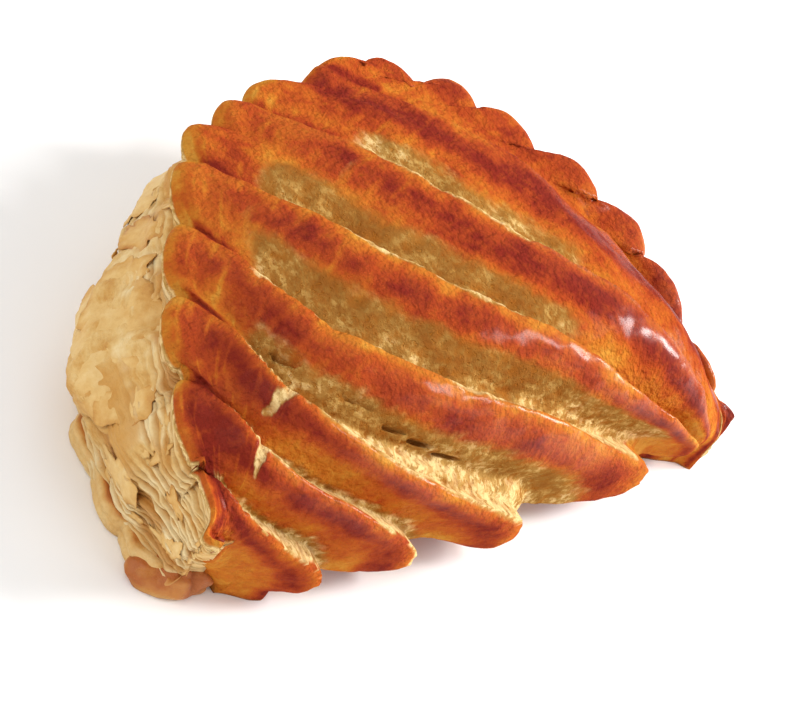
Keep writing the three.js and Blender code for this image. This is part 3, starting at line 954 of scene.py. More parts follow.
def stuck_share(s, notch, drop):
    """1 where the sheets are stuck to a smooth skin."""
    patches = smooth_step(0.1, 0.45, noise(on_wall(s, drop, 0.7), 8, 78))
    patches = patches * (1 - 0.8 * spot(notch, drop, STRANDS))
    near_rim = 1 - smooth_step(0.12, 0.24, drop)
    return np.maximum(patches, spot(notch, drop, BLISTER)) * (1 - near_rim)


print("stains:", len(STAINS), "amber:", len(AMBER_AND_SHADE_PATCHES), "cream:", len(CREAM_PATCHES))

# %% Rows of sheets
SHEETS = 27
SHEET_ROWS = [(0.0, 0), (0.14, 1), (0.62, 0.94), (0.80, 0)]
WALL_COLUMNS = 620
BACK_ROWS = 3

wall_rows = [(sheet + level, inout) for sheet in range(SHEETS) for level, inout in SHEET_ROWS]
last_wall_row = len(wall_rows) + BACK_ROWS - 1
wall_grid = flat_grid(WALL_COLUMNS, last_wall_row)
wall_x, wall_y, _ = grid_places(wall_grid).T
row = np.round(wall_y * last_wall_row).astype(int)
front = row < len(wall_rows)
level = np.array([at for at, _ in wall_rows] + [SHEETS] * BACK_ROWS)[row]
inout = np.array([far for _, far in wall_rows] + [0] * BACK_ROWS)[row]
rim, out, notch, share = side_path(wall_x)
print("wall rows:", len(wall_rows), "for", SHEETS, "sheets")

# %% Where each sheet runs
WAVES = [(1.9, 11, 81, 0.5), (0.8, 4, 82, 0.6)]
WAVES_FADE = 0.7

level_mm = level * WALL_HEIGHT / SHEETS
on_level = np.stack([wall_x * PATH_LENGTH, level_mm, level * 0], -1)
on_sheet = np.stack([wall_x * PATH_LENGTH, np.floor(level) * 37.7, level * 0], -1)
waves = sum(high * noise(on_level * [1, flat, 1], cell, seed) for high, cell, seed, flat in WAVES)
inside = np.sin(math.pi * np.clip(level / SHEETS, 0, 1)) ** WAVES_FADE
drop = np.clip((level_mm + waves * inside) / WALL_HEIGHT, 0, 1)
print("the sheets wave by up to", np.abs(waves).max().round(1), "mm")

# %% How far each sheet reaches out
SHEET_REACH = [(0.55, 5.5, 83), (0.4, 1.9, 84)]
CLUMP_REACH = [(0.9, 8, 85), (0.35, 3, 86)]
WRINKLES = [(0.9, 7.5, 90, 1), (0.45, 3.1, 91, 1), (0.25, 1.5, 101, 0.7)]
WRINKLE_LEVEL = 0.35
GAP_DEPTH, LEAST_GAP_DEPTH = 0.8, 0.15
BLISTER_RISE = 1.3
STAIN_SINK = 0.5
TOP_REACH, TOP_REACH_SLOPE, FAR_TOP_INSET = 0.6, 2, 0.8


def wrinkles(places):
    """Sharp ridges where stuck sheets have crumpled."""
    ridges = [
        high * (WRINKLE_LEVEL - np.abs(noise(places * [1, flat, 1], cell, seed)))
        for high, cell, seed, flat in WRINKLES
    ]
    return sum(ridges)


stuck = stuck_share(wall_x, notch, drop)
stains = patches_of(STAINS, wall_x, notch, drop)
sheet_out = uneven(on_sheet, *SHEET_REACH)
clumps = uneven(on_level, *CLUMP_REACH)
creases = wrinkles(on_level)
gap_depth = np.maximum(LEAST_GAP_DEPTH, GAP_DEPTH + 0.5 * noise(on_sheet, 4, 87))
proud = sheet_out * (1 - 0.9 * stuck) - gap_depth * (1 - inout) * (1 - 0.93 * stuck)
proud += clumps + creases * (0.6 + 0.6 * stuck) + BLISTER_RISE * spot(notch, drop, BLISTER)
proud += 0.2 * noise(on_level, 1.3, 88) - STAIN_SINK * stains
top_limit = TOP_REACH + TOP_REACH_SLOPE * drop - FAR_TOP_INSET * smooth_step(7, 9, notch)
proud = np.where(drop < 0.3, np.minimum(proud, top_limit), proud)
fade = smooth_step(0, 0.1, drop) * np.minimum(1, rim[:, 2] / 14)
fade = fade * (0.3 + 0.7 * smooth_step(0, 0.1, share))
wall_places = wall_place(wall_x, drop, proud * fade)
print("the wall stands out from", proud.min().round(1), "to", proud.max().round(1), "mm")

# %% The hidden back of the wall
BACK_INSET = np.array([0, 8.5, 8.5, 3.2])
BACK_RISE = np.array([0, 0, 0.72, 0.9])
BACK_UNDERCUT = np.array([0, 1, 0.6, 0.2])
BACK_INWARD = np.array([0, 1, 0.4, 0])

back = np.where(front, 0, row - len(wall_rows) + 1)
back_inset = BACK_INSET[back] * np.minimum(1, rim[:, 2] / 16)
back_inset += size_along(CORNER_UNDERCUT, wall_x) * BACK_UNDERCUT[back]
behind = rim[:, :2] - out * back_inset[:, None]
behind[:, 1] += corner_inward(wall_x) * BACK_INWARD[back]
wall_places[:, :2] = np.where(front[:, None], wall_places[:, :2], behind)
wall_places[:, 2] = np.where(front, wall_places[:, 2], BACK_RISE[back] * (rim[:, 2] - UNDER_RIM))
wall_places[:, 2] = np.maximum(wall_places[:, 2], 0)
print("wall spans, mm:", np.ptp(wall_places, axis=0).round(1))


# %% Close the wall into a tube
def close_tube(grid, row, last_row):
    """Joins the first and last rows of a grid and fills its two open ends."""
    grid.verts.index_update()
    rims = []
    for ending in (0, last_row):
        rims += [edge for edge in grid.edges if all(row[vert.index] == ending for vert in edge.verts)]
    bmesh.ops.bridge_loops(grid, edges=rims)
    open_ends = [edge for edge in grid.edges if edge.is_boundary]
    end_faces = bmesh.ops.holes_fill(grid, edges=open_ends, sides=0)["faces"]
    bmesh.ops.triangulate(grid, faces=end_faces)


wall_looks = {
    # Lighter on the sheets' outer edges: partly paler thin dough, partly a painted highlight.
    "edge": inout * (1 - stuck),
    # Darker in the gaps between the sheets: painted shade.
    "gap": (1 - inout) * (1 - stuck),
    # Lighter where the sheets stand out and darker where they sink back: painted shade.
    "stand": np.clip(0.5 + 0.3 * sheet_out + 0.3 * clumps + 0.35 * creases, 0, 1),
    "cream": patches_of(CREAM_PATCHES, wall_x, notch, drop),
    "stain": stains,
    # Amber patches: partly browning, partly painted shade under the rim.
    "amber": patches_of(AMBER_AND_SHADE_PATCHES, wall_x, notch, drop),
}
place_vertices(wall_grid, wall_places)
close_tube(wall_grid, row, last_wall_row)
flaky_wall = finish_piece(wall_grid, "flaky_wall", wall_looks)

# %% [markdown]
# ## The bottom leaf
#
# The lower half of the folded round is the same fluted leaf, baked flat on the tray. It stands out
# below the wall as a thin plate with its own scallops, browned at their tips. A curve with a bevel
# would give the same section all round. It is made as the wall is instead, a grid whose rows go
# once round the plate's section, so that each scallop can lift by its own amount.

# %% The section of the leaf, all round the side
LEAF_SECTION = [
    (-6.0, 0.0), (-3.0, 0.0), (-0.8, 0.0), (-0.2, 0.25), (0.0, 0.75), (-0.05, 1.2), (-0.3, 1.5),
    (-0.25, 1.8), (-0.05, 2.2), (-0.15, 2.7), (-0.6, 3.15), (-1.3, 3.4), (-2.2, 3.4), (-3.4, 3.2),
    (-6.0, 3.0),
]
LEAF_COLUMNS = 620
HIDDEN_INSET = 9

leaf_grid = flat_grid(LEAF_COLUMNS, len(LEAF_SECTION) - 1)
leaf_x, leaf_y, _ = grid_places(leaf_grid).T
leaf_row = np.round(leaf_y * (len(LEAF_SECTION) - 1)).astype(int)
section_out, section_up = np.array(LEAF_SECTION)[leaf_row].T
section_out = section_out - HIDDEN_INSET * (section_out < -3.3) * smooth_step(0.24, 0.12, leaf_x)
upper = section_up > 0.1
round_mm = leaf_x * PATH_LENGTH
line = np.stack([round_mm, leaf_x * 0, leaf_x * 0], -1)
in_place = np.stack([round_mm, section_out * 2, section_up * 2], -1)
rim, out, notch, share = side_path(leaf_x)
rim = evened_rim(leaf_x, notch, rim, np.ones(len(notch)))
print("bottom leaf:", LEAF_COLUMNS, "columns of", len(LEAF_SECTION), "places each")

# %% How far it stands out
SCALLOPS_PER_FLUTE = 1.35
SCALLOP_DEPTH = 2.0
LEAF_HEIGHT_SHARE = 0.95
LEAF_OUT = 1.0
CORNER_LEAF_TUCK = 3.5
TOE_REACH = 2.6

scallop = np.abs(np.sin(math.pi * notch * SCALLOPS_PER_FLUTE)) ** FLUTE_ROUNDNESS
near_toe = smooth_step(1.3, 0.3, notch) * plateau(0.085, 0.11, 0.5, LEFT_PART, leaf_x)
leaf_out = wall_offset(leaf_x, notch, np.full(len(notch), LEAF_HEIGHT_SHARE), share) + LEAF_OUT
leaf_out -= CORNER_LEAF_TUCK * plateau(0.06, 0.09, 0.115, 0.15, leaf_x)
leaf_out += TOE_REACH * near_toe + SCALLOP_DEPTH * (scallop - MEAN_LOBE)
leaf_out += uneven(line, (0.7, 9, 92), (0.3, 3, 93))
ragged = 0.25 * noise(in_place, 1.3, 98) * (section_out > -3)
leaf_places = rim.copy()
leaf_places[:, :2] += out * (leaf_out + section_out + ragged)[:, None]
print("scallops:", round(np.ptp(notch) * SCALLOPS_PER_FLUTE))

# %% How high it stands, and how brown it is
lift = np.maximum(0, 1.4 * noise(line, 12, 94)) + 0.5 * scallop
leaf_up = section_up * (1 + 0.3 * noise(line, 6, 95)) + lift * smooth_step(-4, 0, section_out) * upper
leaf_up += (0.25 * noise(in_place, 2.2, 96) - 0.3 * np.abs(noise(in_place, 4.5, 97))) * upper
leaf_up *= np.minimum(1, rim[:, 2] / 10) * (1 + 0.5 * near_toe)
leaf_places[:, 2] = np.maximum(0, leaf_up)
top_face = smooth_step(-0.1, -1.4, section_out) * upper
tips = 0.16 + top_face * (0.25 + 0.36 * scallop ** 2 + 0.6 * noise(line, 7, 99))
tips += 0.6 * near_toe * (0.6 + 0.8 * noise(line, 3.5, 100))
place_vertices(leaf_grid, leaf_places)
close_tube(leaf_grid, leaf_row, len(LEAF_SECTION) - 1)
bottom_leaf = finish_piece(leaf_grid, "bottom_leaf", {"toast": np.clip(tips, 0, 1)})

# %% [markdown]
# ## The pinched toe
#
# At the near corner the two leaves were pinched together, and the end of the bottom leaf has
# risen into a small knob with a crease across it. Joining it to the leaf's grid would stretch a few
# columns far too much, so it is a ball of its own that sinks into the leaf. The ball is squashed
# flat below, and the crease and the lobes are pressed into it by formula.

# %% The ball with its crease and lobes
toe_edit = bmesh.new()
bmesh.ops.create_uvsphere(toe_edit, u_segments=120, v_segments=72, radius=1)
toe_ball = grid_places(toe_edit)
toe_u, toe_w, toe_up = toe_ball.T
crease_line = toe_u - 0.2 + 0.3 * toe_w + 0.16 * noise(toe_ball, 0.7, 111)
toe_crease = np.exp(-(crease_line / 0.1) ** 2) * smooth_step(-0.3, 0.3, toe_up)
dimple = np.exp(-ellipse(toe_u, toe_w, -0.35, -0.15, 0.2, 0.3)) * smooth_step(0, 0.5, toe_up)
toe_lobes = 1 + uneven(toe_ball, (0.14, 0.7, 112), (0.07, 0.27, 113))
toe_lobes = toe_lobes - 0.26 * toe_crease - 0.3 * dimple
print("lobes from", toe_lobes.min().round(2), "to", toe_lobes.max().round(2))

# %% The toe in its place
TOE_MIDDLE = (-55.6, -34.9)
TOE_HALF = (6.9, 4.6)
TOE_HEIGHT = 5.6
TOE_FLAT_BELOW = -0.4
TOE_TURN = -0.42
TOE_TOAST = 0.98

across_toe = toe_u * TOE_HALF[0] * toe_lobes
down_toe = toe_w * TOE_HALF[1] * toe_lobes
toe_places = np.stack([
    TOE_MIDDLE[0] + across_toe * math.cos(TOE_TURN) - down_toe * math.sin(TOE_TURN),
    TOE_MIDDLE[1] + across_toe * math.sin(TOE_TURN) + down_toe * math.cos(TOE_TURN),
    TOE_HEIGHT * np.maximum(0, (toe_up * toe_lobes - TOE_FLAT_BELOW) / (1 - TOE_FLAT_BELOW)),
], -1)
toe_toast = TOE_TOAST + 0.2 * smooth_step(0.1, 0.6, toe_u)
toe_toast += 0.4 * np.exp(-(crease_line / 0.2) ** 2) + 0.5 * dimple
toe_toast += 0.35 * noise(toe_ball, 0.45, 114) - 0.4 * smooth_step(0.1, -0.3, toe_up)
place_vertices(toe_edit, toe_places)
pinched_toe = finish_piece(toe_edit, "pinched_toe", {"toast": np.clip(toe_toast, 0, 1)})

# %% [markdown]
# ## Loose skins and flakes
#
# The outermost sheets have let go: a big blown-up skin near the corner, cupped sheets under the
# rim, and many small flakes. They could be scattered with particles or geometry nodes, but each has
# to lie on the wall's own curve. So each is a small round sheet laid on the wall, lifted and curled
# by formula. A solidify modifier gives them all their thickness, which also closes them.

# %% One loose sheet
FLAKE_THICKNESS = 0.2
HIGHEST_SHEET, LOWEST_SHEET = 0.02, 0.96


def round_sheet(cells):
    """A square grid rounded to a disc, so that a sheet has no corners."""
    grid = flat_grid(*cells)
    u, w, _ = grid_places(grid).T
    u, w = 2 * u - 1, 2 * w - 1
    return grid, u * np.sqrt(1 - w * w / 2), w * np.sqrt(1 - u * u / 2)


def lay_sheet(into, looks, middle, half, turn, lift, curl, bulge, seed, cells, ragged):
    """Lays one thin sheet on the wall.

    middle is its place (s, drop), half its half-lengths in mm, turn its slant, lift how far its
    free edge stands off, curl how much its ends bend out, bulge how much its middle does.
    """
    grid, u, w = round_sheet(cells)
    radius = np.hypot(u, w)
    angle = np.arctan2(w, u)
    round_it = np.stack([np.cos(angle) * 1.5, np.sin(angle) * 1.5, angle * 0 + seed * 0.37], -1)
    outline = 1 + uneven(round_it, (ragged, 0.8, 5), (0.5 * ragged, 0.33, 6))
    along_mm = u * half[0] * outline
    down_mm = w * half[1] * outline
    s = middle[0] + (along_mm * math.cos(turn) - down_mm * math.sin(turn)) / PATH_LENGTH
    drop = middle[1] + (along_mm * math.sin(turn) + down_mm * math.cos(turn)) / WALL_HEIGHT
    sheet = np.stack([along_mm, down_mm, u * 0 + seed * 3.1], -1)
    stand = lift * smooth_step(-0.8, 1.1, w) + curl * u * u + bulge * (1 - radius ** 2)
    stand = stand + uneven(sheet, (0.3, 2.2, 7), (0.15, 0.9, 8)) - 0.1
    place_vertices(grid, wall_place(s, np.clip(drop, HIGHEST_SHEET, LOWEST_SHEET), stand))
    mesh = bpy.data.meshes.new("sheet")
    bmesh.ops.recalc_face_normals(grid, faces=grid.faces)
    grid.to_mesh(mesh)
    grid.free()
    into.from_mesh(mesh)
    bpy.data.meshes.remove(mesh)
    looks["tone"] += [np.random.default_rng(seed).uniform(0, 1)] * len(u)
    looks["rim"] += list(smooth_step(0.6, 1.0, radius))


def thicken(piece, thickness_mm):
    solidify = piece.modifiers.new("thickness", "SOLIDIFY")
    solidify.thickness = thickness_mm * MM
    solidify.offset = -1


# %% Small flakes all round
FLAKES = 130
FLAKE_CELLS = (8, 6)
FLAKE_RAGGED = 0.6
STEEP_SHARE, STEEP_TURN = 0.3, 0.9

flake_sheet = bmesh.new()
flake_looks = {"tone": [], "rim": []}
draw = np.random.default_rng(7)
for number in range(FLAKES):
    middle = (draw.uniform(0.09, 0.96), draw.uniform(0.14, 0.86))
    half = (draw.uniform(0.9, 3.4), draw.uniform(0.5, 1.6))
    turn = draw.uniform(-0.5, 0.5) + STEEP_TURN * (draw.uniform(0, 1) < STEEP_SHARE)
    lift = draw.uniform(0.0, 0.5)
    curl = draw.uniform(-0.3, 0.5)
    shape = (middle, half, turn, lift, curl, 0.0, 200 + number)
    lay_sheet(flake_sheet, flake_looks, *shape, FLAKE_CELLS, FLAKE_RAGGED)
side_flakes = finish_piece(flake_sheet, "side_flakes", flake_looks)
thicken(side_flakes, FLAKE_THICKNESS)

# %% The blown-up skins and the cups under the rim
SKIN_CELLS = (36, 22)
SKIN_RAGGED = 0.4
SKINS = [
    ((0.283, 0.43), (13.5, 7.2), 0.10, 0.6, -0.5, 1.5, 301),
    ((0.305, 0.52), (8.0, 5.0), -0.35, 1.6, 0.6, 0.5, 302),
    ((0.236, 0.36), (5.0, 4.2), 0.5, 1.0, 0.4, 0.4, 303),
    ((0.318, 0.36), (6.0, 3.2), -0.5, 1.5, 1.0, 0.2, 304),
    ((0.205, 0.62), (5.0, 2.6), 0.35, 0.5, 0.3, 0.3, 305),
    ((0.365, 0.34), (5.5, 3.2), 0.5, 0.4, 0.2, 0.3, 306),
    ((0.150, 0.62), (3.0, 2.2), 0.6, 0.5, 0.2, 0.3, 307),
    ((0.42, 0.45), (7.0, 4.4), -0.1, 0.4, 0.3, 0.5, 308),
    ((0.52, 0.5), (8.0, 4.2), 0.15, 0.8, 0.3, 0.6, 309),
    ((0.64, 0.45), (9.0, 4.6), -0.1, 0.8, 0.3, 0.8, 310),
    ((0.76, 0.5), (8.0, 4.0), 0.1, 0.7, 0.3, 0.6, 311),
    ((0.87, 0.5), (6.0, 3.0), 0.0, 0.5, 0.2, 0.4, 312),
]

skin_sheet = bmesh.new()
skin_looks = {"tone": [], "rim": []}
for skin in SKINS:
    lay_sheet(skin_sheet, skin_looks, *skin, SKIN_CELLS, SKIN_RAGGED)
puffed_skins = finish_piece(skin_sheet, "puffed_skins", skin_looks)
thicken(puffed_skins, FLAKE_THICKNESS)

# %% [markdown]
# ## Finishes
#
# All the finishes are node materials. Nodes could be joined one line at a time, but then a sum of
# four noises takes a page. Two small helpers keep them readable: a `Wire` wraps a socket so that
# shader sums read like arithmetic, and a `Finish` adds one node at a time.

# %% A wire that can be added and multiplied
class Wire:
    def __init__(self, finish, socket):
        self.finish = finish
        self.socket = socket

    def maths(self, operation, first, second):
        return self.finish.node("ShaderNodeMath", {"operation": operation}, {0: first, 1: second})

    def __add__(self, other):
        return self.maths("ADD", self, other)

    def __sub__(self, other):
        return self.maths("SUBTRACT", self, other)

    def __rsub__(self, other):
        return self.maths("SUBTRACT", other, self)

    def __mul__(self, other):
        return self.maths("MULTIPLY", self, other)

    __radd__ = __add__
    __rmul__ = __mul__


# %% A finish, built node by node
class Finish:
    def __init__(self, name, **constants):
        self.material = bpy.data.materials.new(name)
        self.material.use_nodes = True
        self.tree = self.material.node_tree
        self.shader = self.tree.nodes["Principled BSDF"]
        for socket, value in constants.items():
            self.shader.inputs[socket.replace("_", " ")].default_value = value

    def node(self, kind, settings, sockets, out=0):
        node = self.tree.nodes.new(kind)
        for setting, value in settings.items():
            if setting == "stops":
                self.set_stops(node.color_ramp, value)
            else:
                setattr(node, setting, value)
        for socket, value in sockets.items():
            self.join(value, node.inputs[socket])
        return Wire(self, node.outputs[out])

    def set_stops(self, ramp, stops):
        ramp.elements.remove(ramp.elements[1])
        ramp.elements[0].position = stops[0][0]
        for place, _ in stops[1:]:
            ramp.elements.new(place)
        for element, (_, colour) in zip(ramp.elements, stops):
            element.color = (*colour, 1)

    def join(self, value, socket):
        if isinstance(value, Wire):
            self.tree.links.new(value.socket, socket)
        elif socket.type == "RGBA":
            socket.default_value = (*value, 1)
        else:
            socket.default_value = value

    def look(self, name):
        return self.node("ShaderNodeAttribute", {"attribute_name": name}, {}, out="Fac")

    def grain(self, cell_mm, detail=3.0, roughness=0.55, stretch=(1, 1, 1)):
        place = self.node("ShaderNodeTexCoord", {}, {}, out="Object")
        scaled = self.node("ShaderNodeMapping", {}, {"Vector": place, "Scale": stretch})
        sockets = {"Vector": scaled, "Scale": 1 / (cell_mm * MM)}
        sockets.update({"Detail": detail, "Roughness": roughness})
        return self.node("ShaderNodeTexNoise", {"noise_dimensions": "3D"}, sockets)

    def bubbles(self, cell_mm):
        place = self.node("ShaderNodeTexCoord", {}, {}, out="Object")
        sockets = {"Vector": place, "Scale": 1 / (cell_mm * MM)}
        return self.node("ShaderNodeTexVoronoi", {"feature": "F1"}, sockets)

    def between(self, start, end, value):
        sockets = {"Value": value, "From Min": start, "From Max": end}
        return self.node("ShaderNodeMapRange", {"interpolation_type": "SMOOTHSTEP"}, sockets)

    def colours(self, value, stops):
        return self.node("ShaderNodeValToRGB", {"stops": stops}, {"Fac": value})

    def blend(self, share, first, second):
        settings = {"data_type": "RGBA", "blend_type": "MIX", "clamp_factor": True}
        return self.node("ShaderNodeMix", settings, {0: share, 6: first, 7: second}, out=2)

    def relief(self, height, depth_mm):
        sockets = {"Height": height, "Distance": depth_mm * MM, "Strength": 1.0}
        return self.node("ShaderNodeBump", {}, sockets)

    def wear_on(self, piece, colour, roughness, normal, coat=None):
        self.join(colour, self.shader.inputs["Base Color"])
        self.join(roughness, self.shader.inputs["Roughness"])
        self.join(normal, self.shader.inputs["Normal"])
        if coat is not None:
            self.join(coat, self.shader.inputs["Coat Weight"])
        piece.data.materials.append(self.material)


# %% [markdown]
# ## Egg wash and torn dough
#
# Egg wash bakes to a thin glossy film. It is orange where the dough was shielded and maroon where
# it caught the heat, always in soft blotches. Torn dough has no wash, so it is matt and straw
# coloured. It is painted darker in its pores and caves, which is painted shade in those hollows, and
# its light flecks are partly paler dough and partly painted glints. The attributes choose between
# them, and fine noise breaks up the edges. The gloss is a coat over a matt base, because the film
# lies on the dough and isn't part of it. The base has no gloss of its own, which would turn the
# slopes pink.

# %% The colours of the glaze
GLAZE_TONES = [
    (0.0, (0.56, 0.25, 0.036)), (0.2, (0.51, 0.165, 0.020)), (0.44, (0.45, 0.100, 0.015)),
    (0.68, (0.36, 0.054, 0.013)), (1.0, (0.20, 0.020, 0.011)),
]

crust_finish = Finish(
    "egg_washed_crust", Coat_Roughness=0.21, Coat_IOR=1.5, Specular_IOR_Level=0.0,
)
glaze = crust_finish.look("glaze")
# The browning value also carries the painted highlights that were lowered into it.
heat_and_highlight = crust_finish.look("browned")
blotch = crust_finish.grain(5.0, 4)
fine = crust_finish.grain(0.9, 3)
mottle = crust_finish.grain(1.9, 3)
browned = heat_and_highlight + 0.45 * (blotch - 0.5) + 0.5 * (mottle - 0.5) + 0.3 * (fine - 0.5)
glaze_colour = crust_finish.colours(browned, GLAZE_TONES)
print("glaze tones:", len(GLAZE_TONES))

# %% The colours of the torn dough
DOUGH_TONES = [
    (0.0, (0.26, 0.092, 0.017)), (0.3, (0.31, 0.146, 0.032)), (0.6, (0.47, 0.272, 0.078)),
    (1.0, (0.78, 0.56, 0.255)),
]
# The dark colour of the pores and caves in the torn dough is painted shade.
PORE_AND_CAVE_SHADE_COLOUR = (0.34, 0.11, 0.014)
SPECK_COLOUR = (0.36, 0.12, 0.012)

pale = crust_finish.look("pale")
pore = crust_finish.look("pore")
# Light flecks in the torn dough: partly paler dough, partly painted glints.
light_flecks_and_glints = crust_finish.between(0.44, 0.60, crust_finish.grain(1.15, 4, 0.65, stretch=(1, 0.6, 1)))
dough_tone = 0.9 * pale + 0.5 * (crust_finish.grain(2.4, 3, 0.6) - 0.5)
dough_tone = dough_tone + 0.42 * (light_flecks_and_glints - 0.3) * (pale + 0.3)
dough_colour = crust_finish.colours(dough_tone, DOUGH_TONES)
# The pores and caves are painted darker here: painted shade.
dough_colour = crust_finish.blend(pore * 0.7, dough_colour, PORE_AND_CAVE_SHADE_COLOUR)
specks = crust_finish.between(0.54, 0.74, crust_finish.grain(0.9, 2, 0.6)) * (1 - glaze)
dough_colour = crust_finish.blend(specks * 0.5, dough_colour, SPECK_COLOUR)
print("dough tones:", len(DOUGH_TONES))

# %% The crust's finish
UNDERSIDE_TONES = [(0.3, (0.50, 0.22, 0.06)), (0.7, (0.36, 0.12, 0.03))]
DOUGH_ROUGHNESS, GLAZE_SMOOTHER = 0.72, 0.40
CRUST_BUMP_MM = 0.28
DRY_COAT, WET_COAT = 0.03, 0.34

washed = crust_finish.between(0.05, 0.85, glaze + 0.25 * (fine - 0.5))
crust_colour = crust_finish.blend(washed, dough_colour, glaze_colour)
under_colour = crust_finish.colours(blotch, UNDERSIDE_TONES)
crust_colour = crust_finish.blend(crust_finish.look("underside"), crust_colour, under_colour)
crust_roughness = DOUGH_ROUGHNESS - GLAZE_SMOOTHER * washed + 0.16 * (fine - 0.5)
film_relief = (crust_finish.grain(0.6, 2) * 0.9 + crust_finish.grain(1.1, 2) * 3.2) * washed
dough_relief = crust_finish.grain(0.9, 3, 0.65) * 1.8 + crust_finish.bubbles(1.5) * 0.5 - specks
dough_relief = dough_relief * (1 - washed)
crust_normal = crust_finish.relief(film_relief + dough_relief, CRUST_BUMP_MM)
crust_coat = washed * (DRY_COAT + WET_COAT * crust_finish.look("wet"))
crust_finish.wear_on(glazed_crust, crust_colour, crust_roughness, crust_normal, crust_coat)
print("crust finish:", len(crust_finish.tree.nodes), "nodes")

# %% [markdown]
# ## Baked layers
#
# The wall has no wash. Its sheets are cream to tan. They are lighter on their thin outer edges,
# partly as paler thin dough and partly as a painted highlight, and darker and warmer in the gaps,
# which is painted shade. They are also lighter where a sheet stands out and darker where it sinks
# back, which is painted shade too. There is light browning in patches, and the amber patches just
# under the rim are painted shade. Fine streaks run along the sheets, made by squeezing a noise. The
# loose flakes and skins are the same dough, so they share its tones.

# %% The wall's finish
BAKED_TONES = [
    (0.0, (0.46, 0.19, 0.038)), (0.25, (0.60, 0.32, 0.080)), (0.5, (0.70, 0.45, 0.162)),
    (1.0, (0.83, 0.65, 0.35)),
]
# Painted shade for the gaps between the sheets.
GAP_SHADE_COLOUR = (0.50, 0.24, 0.055)
STAIN_COLOUR = (0.50, 0.21, 0.035)
AMBER_AND_SHADE_COLOUR = (0.56, 0.27, 0.055)

wall_finish = Finish("baked_layers", Specular_IOR_Level=0.3)
streaks = wall_finish.grain(0.6, 4, 0.6, stretch=(0.35, 0.35, 1.6))
patch = wall_finish.grain(4.5, 3)
# The stand term is painted shade, and the edge term is partly a painted highlight.
tone = 0.22 + 0.36 * wall_finish.look("stand") + 0.26 * wall_finish.look("edge")
tone = tone + 0.3 * wall_finish.look("cream")
tone = tone + 0.5 * (streaks - 0.5) + 1.1 * (patch - 0.5) + 0.5 * (wall_finish.grain(1.6, 3) - 0.5)
wall_colour = wall_finish.colours(tone, BAKED_TONES)
# The gap colour is painted shade between the sheets.
wall_colour = wall_finish.blend(wall_finish.look("gap") * 0.8, wall_colour, GAP_SHADE_COLOUR)
wall_colour = wall_finish.blend(wall_finish.look("stain") * 0.8, wall_colour, STAIN_COLOUR)
# The amber colour is partly browning and partly painted shade under the rim.
wall_colour = wall_finish.blend(wall_finish.look("amber") * 0.75, wall_colour, AMBER_AND_SHADE_COLOUR)
wall_normal = wall_finish.relief(streaks + 0.6 * wall_finish.grain(0.45, 3), 0.3)
wall_finish.wear_on(flaky_wall, wall_colour, 0.62 + 0.2 * (streaks - 0.5), wall_normal)
print("wall finish:", len(wall_finish.tree.nodes), "nodes")

# %% The finish of the flakes and skins
flake_finish = Finish("loose_flakes", Specular_IOR_Level=0.35)
freckle = flake_finish.grain(1.2, 4, 0.65)
cloud = flake_finish.grain(5.0, 3)
flake_tone = 0.36 + 0.25 * flake_finish.look("tone") + 0.5 * (freckle - 0.5) + 0.7 * (cloud - 0.5)
flake_tone = flake_tone - 0.22 * flake_finish.look("rim")
flake_colour = flake_finish.colours(flake_tone, BAKED_TONES)
flake_normal = flake_finish.relief(freckle + 0.5 * flake_finish.grain(0.4, 3), 0.2)
flake_finish.wear_on(side_flakes, flake_colour, 0.6 + 0.2 * (freckle - 0.5), flake_normal)
puffed_skins.data.materials.append(flake_finish.material)
print("flake finish:", len(flake_finish.tree.nodes), "nodes")

# %% [markdown]
# ## Toasted bottom leaf
#
# The bottom leaf lay on the tray and caught less heat, so it runs from straw to chestnut. `toast`
# says how brown each place is. The pinched toe is the same dough, only browner, and shares it.

# %% The finish of the bottom leaf and toe
LEAF_TONES = [
    (0.0, (0.72, 0.50, 0.21)), (0.35, (0.62, 0.35, 0.10)), (0.7, (0.50, 0.19, 0.035)),
    (1.0, (0.40, 0.11, 0.018)),
]

leaf_finish = Finish("bottom_leaf_dough", Specular_IOR_Level=0.4)
leaf_mottle = leaf_finish.grain(2.2, 4, 0.6)
leaf_tone = leaf_finish.look("toast") + 0.7 * (leaf_mottle - 0.5)
leaf_colour = leaf_finish.colours(leaf_tone, LEAF_TONES)
leaf_relief = leaf_finish.relief(leaf_mottle + 0.7 * leaf_finish.grain(0.5, 3), 0.25)
leaf_finish.wear_on(bottom_leaf, leaf_colour, 0.5 + 0.2 * (leaf_mottle - 0.5), leaf_relief)
pinched_toe.data.materials.append(leaf_finish.material)
print("leaf finish:", len(leaf_finish.tree.nodes), "nodes")

# %% [markdown]
# ## Floor, light and camera
#
# The pastry stands on a plain pale floor. One small soft light, low behind it on the right, draws
# the long highlights along the bands. A big one on the left shows the flaky wall, one high behind
# lifts the crown, and one in front fills the shadow under the fold. A last small one adds glints on
# the shoulder. Sunlight would be simpler, but its shadows have no soft edge. The pale surround is
# even, so nothing is black.

# %% Floor
FLOOR_SIZE = 6.0
FLOOR_TONES = [(0.0, (0.93, 0.93, 0.93)), (1.0, (0.95, 0.95, 0.95))]

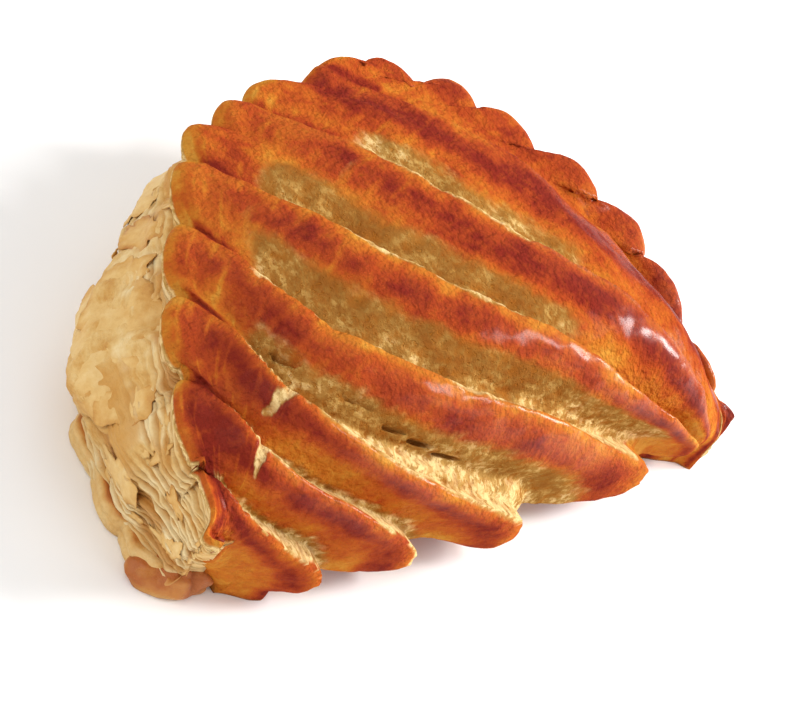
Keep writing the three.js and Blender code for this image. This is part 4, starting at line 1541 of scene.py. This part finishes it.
floor_edit = bmesh.new()
bmesh.ops.create_grid(floor_edit, x_segments=1, y_segments=1, size=FLOOR_SIZE)
floor_mesh = bpy.data.meshes.new("studio_floor")
floor_edit.to_mesh(floor_mesh)
floor_edit.free()
studio_floor = bpy.data.objects.new("studio_floor", floor_mesh)
bpy.context.scene.collection.objects.link(studio_floor)
floor_finish = Finish("pale_floor", Roughness=0.9)
floor_shade = floor_finish.colours(floor_finish.grain(400.0, 1), FLOOR_TONES)
floor_finish.join(floor_shade, floor_finish.shader.inputs["Base Color"])
floor_mesh.materials.append(floor_finish.material)
print("floor, metres across:", 2 * FLOOR_SIZE)

# %% Lights
WHITE, WARM_WHITE = (1, 1, 1), (1, 0.97, 0.94)
SOFTBOXES = [
    ("back_right_softbox", 74, 23, 0.9, (0.18, 0.30), 7.0, WARM_WHITE),
    ("front_left_softbox", -95, 40, 1.1, (0.8, 0.8), 4.6, WHITE),
    ("overhead_softbox", 165, 62, 1.2, (0.9, 0.9), 2.1, WHITE),
    ("fold_softbox", 20, 24, 1.1, (0.6, 0.4), 1.5, WHITE),
    ("glint_softbox", 53, 48, 0.9, (0.18, 0.30), 4.4, WHITE),
]
LIT_POINT = (0, 0, 0.02)
SURROUND_STRENGTH = 0.58


def way_from(azimuth, elevation):
    """The way from the pastry to a light or camera, in degrees round from the fold and up."""
    turn, rise = math.radians(azimuth), math.radians(elevation)
    flat = math.cos(rise)
    return Vector((math.sin(turn) * flat, -math.cos(turn) * flat, math.sin(rise)))


def softbox(name, azimuth, elevation, distance, size, watts, colour):
    lamp = bpy.data.lights.new(name, "AREA")
    lamp.shape = "RECTANGLE"
    lamp.size, lamp.size_y = size
    lamp.energy = watts
    lamp.color = colour
    box = bpy.data.objects.new(name, lamp)
    bpy.context.scene.collection.objects.link(box)
    box.location = way_from(azimuth, elevation) * distance
    box.rotation_euler = (Vector(LIT_POINT) - box.location).to_track_quat("-Z", "Y").to_euler()


for light in SOFTBOXES:
    softbox(*light)
world = bpy.data.worlds.new("pale_studio")
world.use_nodes = True
surround = world.node_tree.nodes["Background"]
surround.inputs["Color"].default_value = (1, 1, 1, 1)
surround.inputs["Strength"].default_value = SURROUND_STRENGTH
bpy.context.scene.world = world
print("softboxes:", len(SOFTBOXES))

# %% Camera
CAMERA_AZIMUTH, CAMERA_ELEVATION, CAMERA_ROLL = -60, 37.5, 35
CAMERA_DISTANCE = 0.340
FOCAL_PIXELS, PICTURE_WIDTH, SENSOR_WIDTH = 2030, 786, 36
NEAREST_SEEN = 0.01
TARGET = Vector((-5.6 - BASE_CENTRE[0], -15.8 - BASE_CENTRE[1], 20)) * MM

camera_data = bpy.data.cameras.new("camera")
camera_data.sensor_width = SENSOR_WIDTH
camera_data.lens = FOCAL_PIXELS * SENSOR_WIDTH / PICTURE_WIDTH
camera_data.clip_start = NEAREST_SEEN
camera = bpy.data.objects.new("camera", camera_data)
bpy.context.scene.collection.objects.link(camera)
back_way = way_from(CAMERA_AZIMUTH, CAMERA_ELEVATION)
turn = math.radians(CAMERA_AZIMUTH)
right_way = Vector((math.cos(turn), math.sin(turn), 0))
up_way = back_way.cross(right_way)
roll = math.radians(CAMERA_ROLL)
camera_x = right_way * math.cos(roll) + up_way * math.sin(roll)
camera_y = up_way * math.cos(roll) - right_way * math.sin(roll)
turned = Matrix((camera_x, camera_y, back_way)).transposed().to_4x4()
camera.matrix_world = Matrix.Translation(TARGET + back_way * CAMERA_DISTANCE) @ turned
bpy.context.scene.camera = camera
bpy.context.scene.view_settings.view_transform = "Standard"
print("camera at", [round(value, 3) for value in camera.matrix_world.translation])
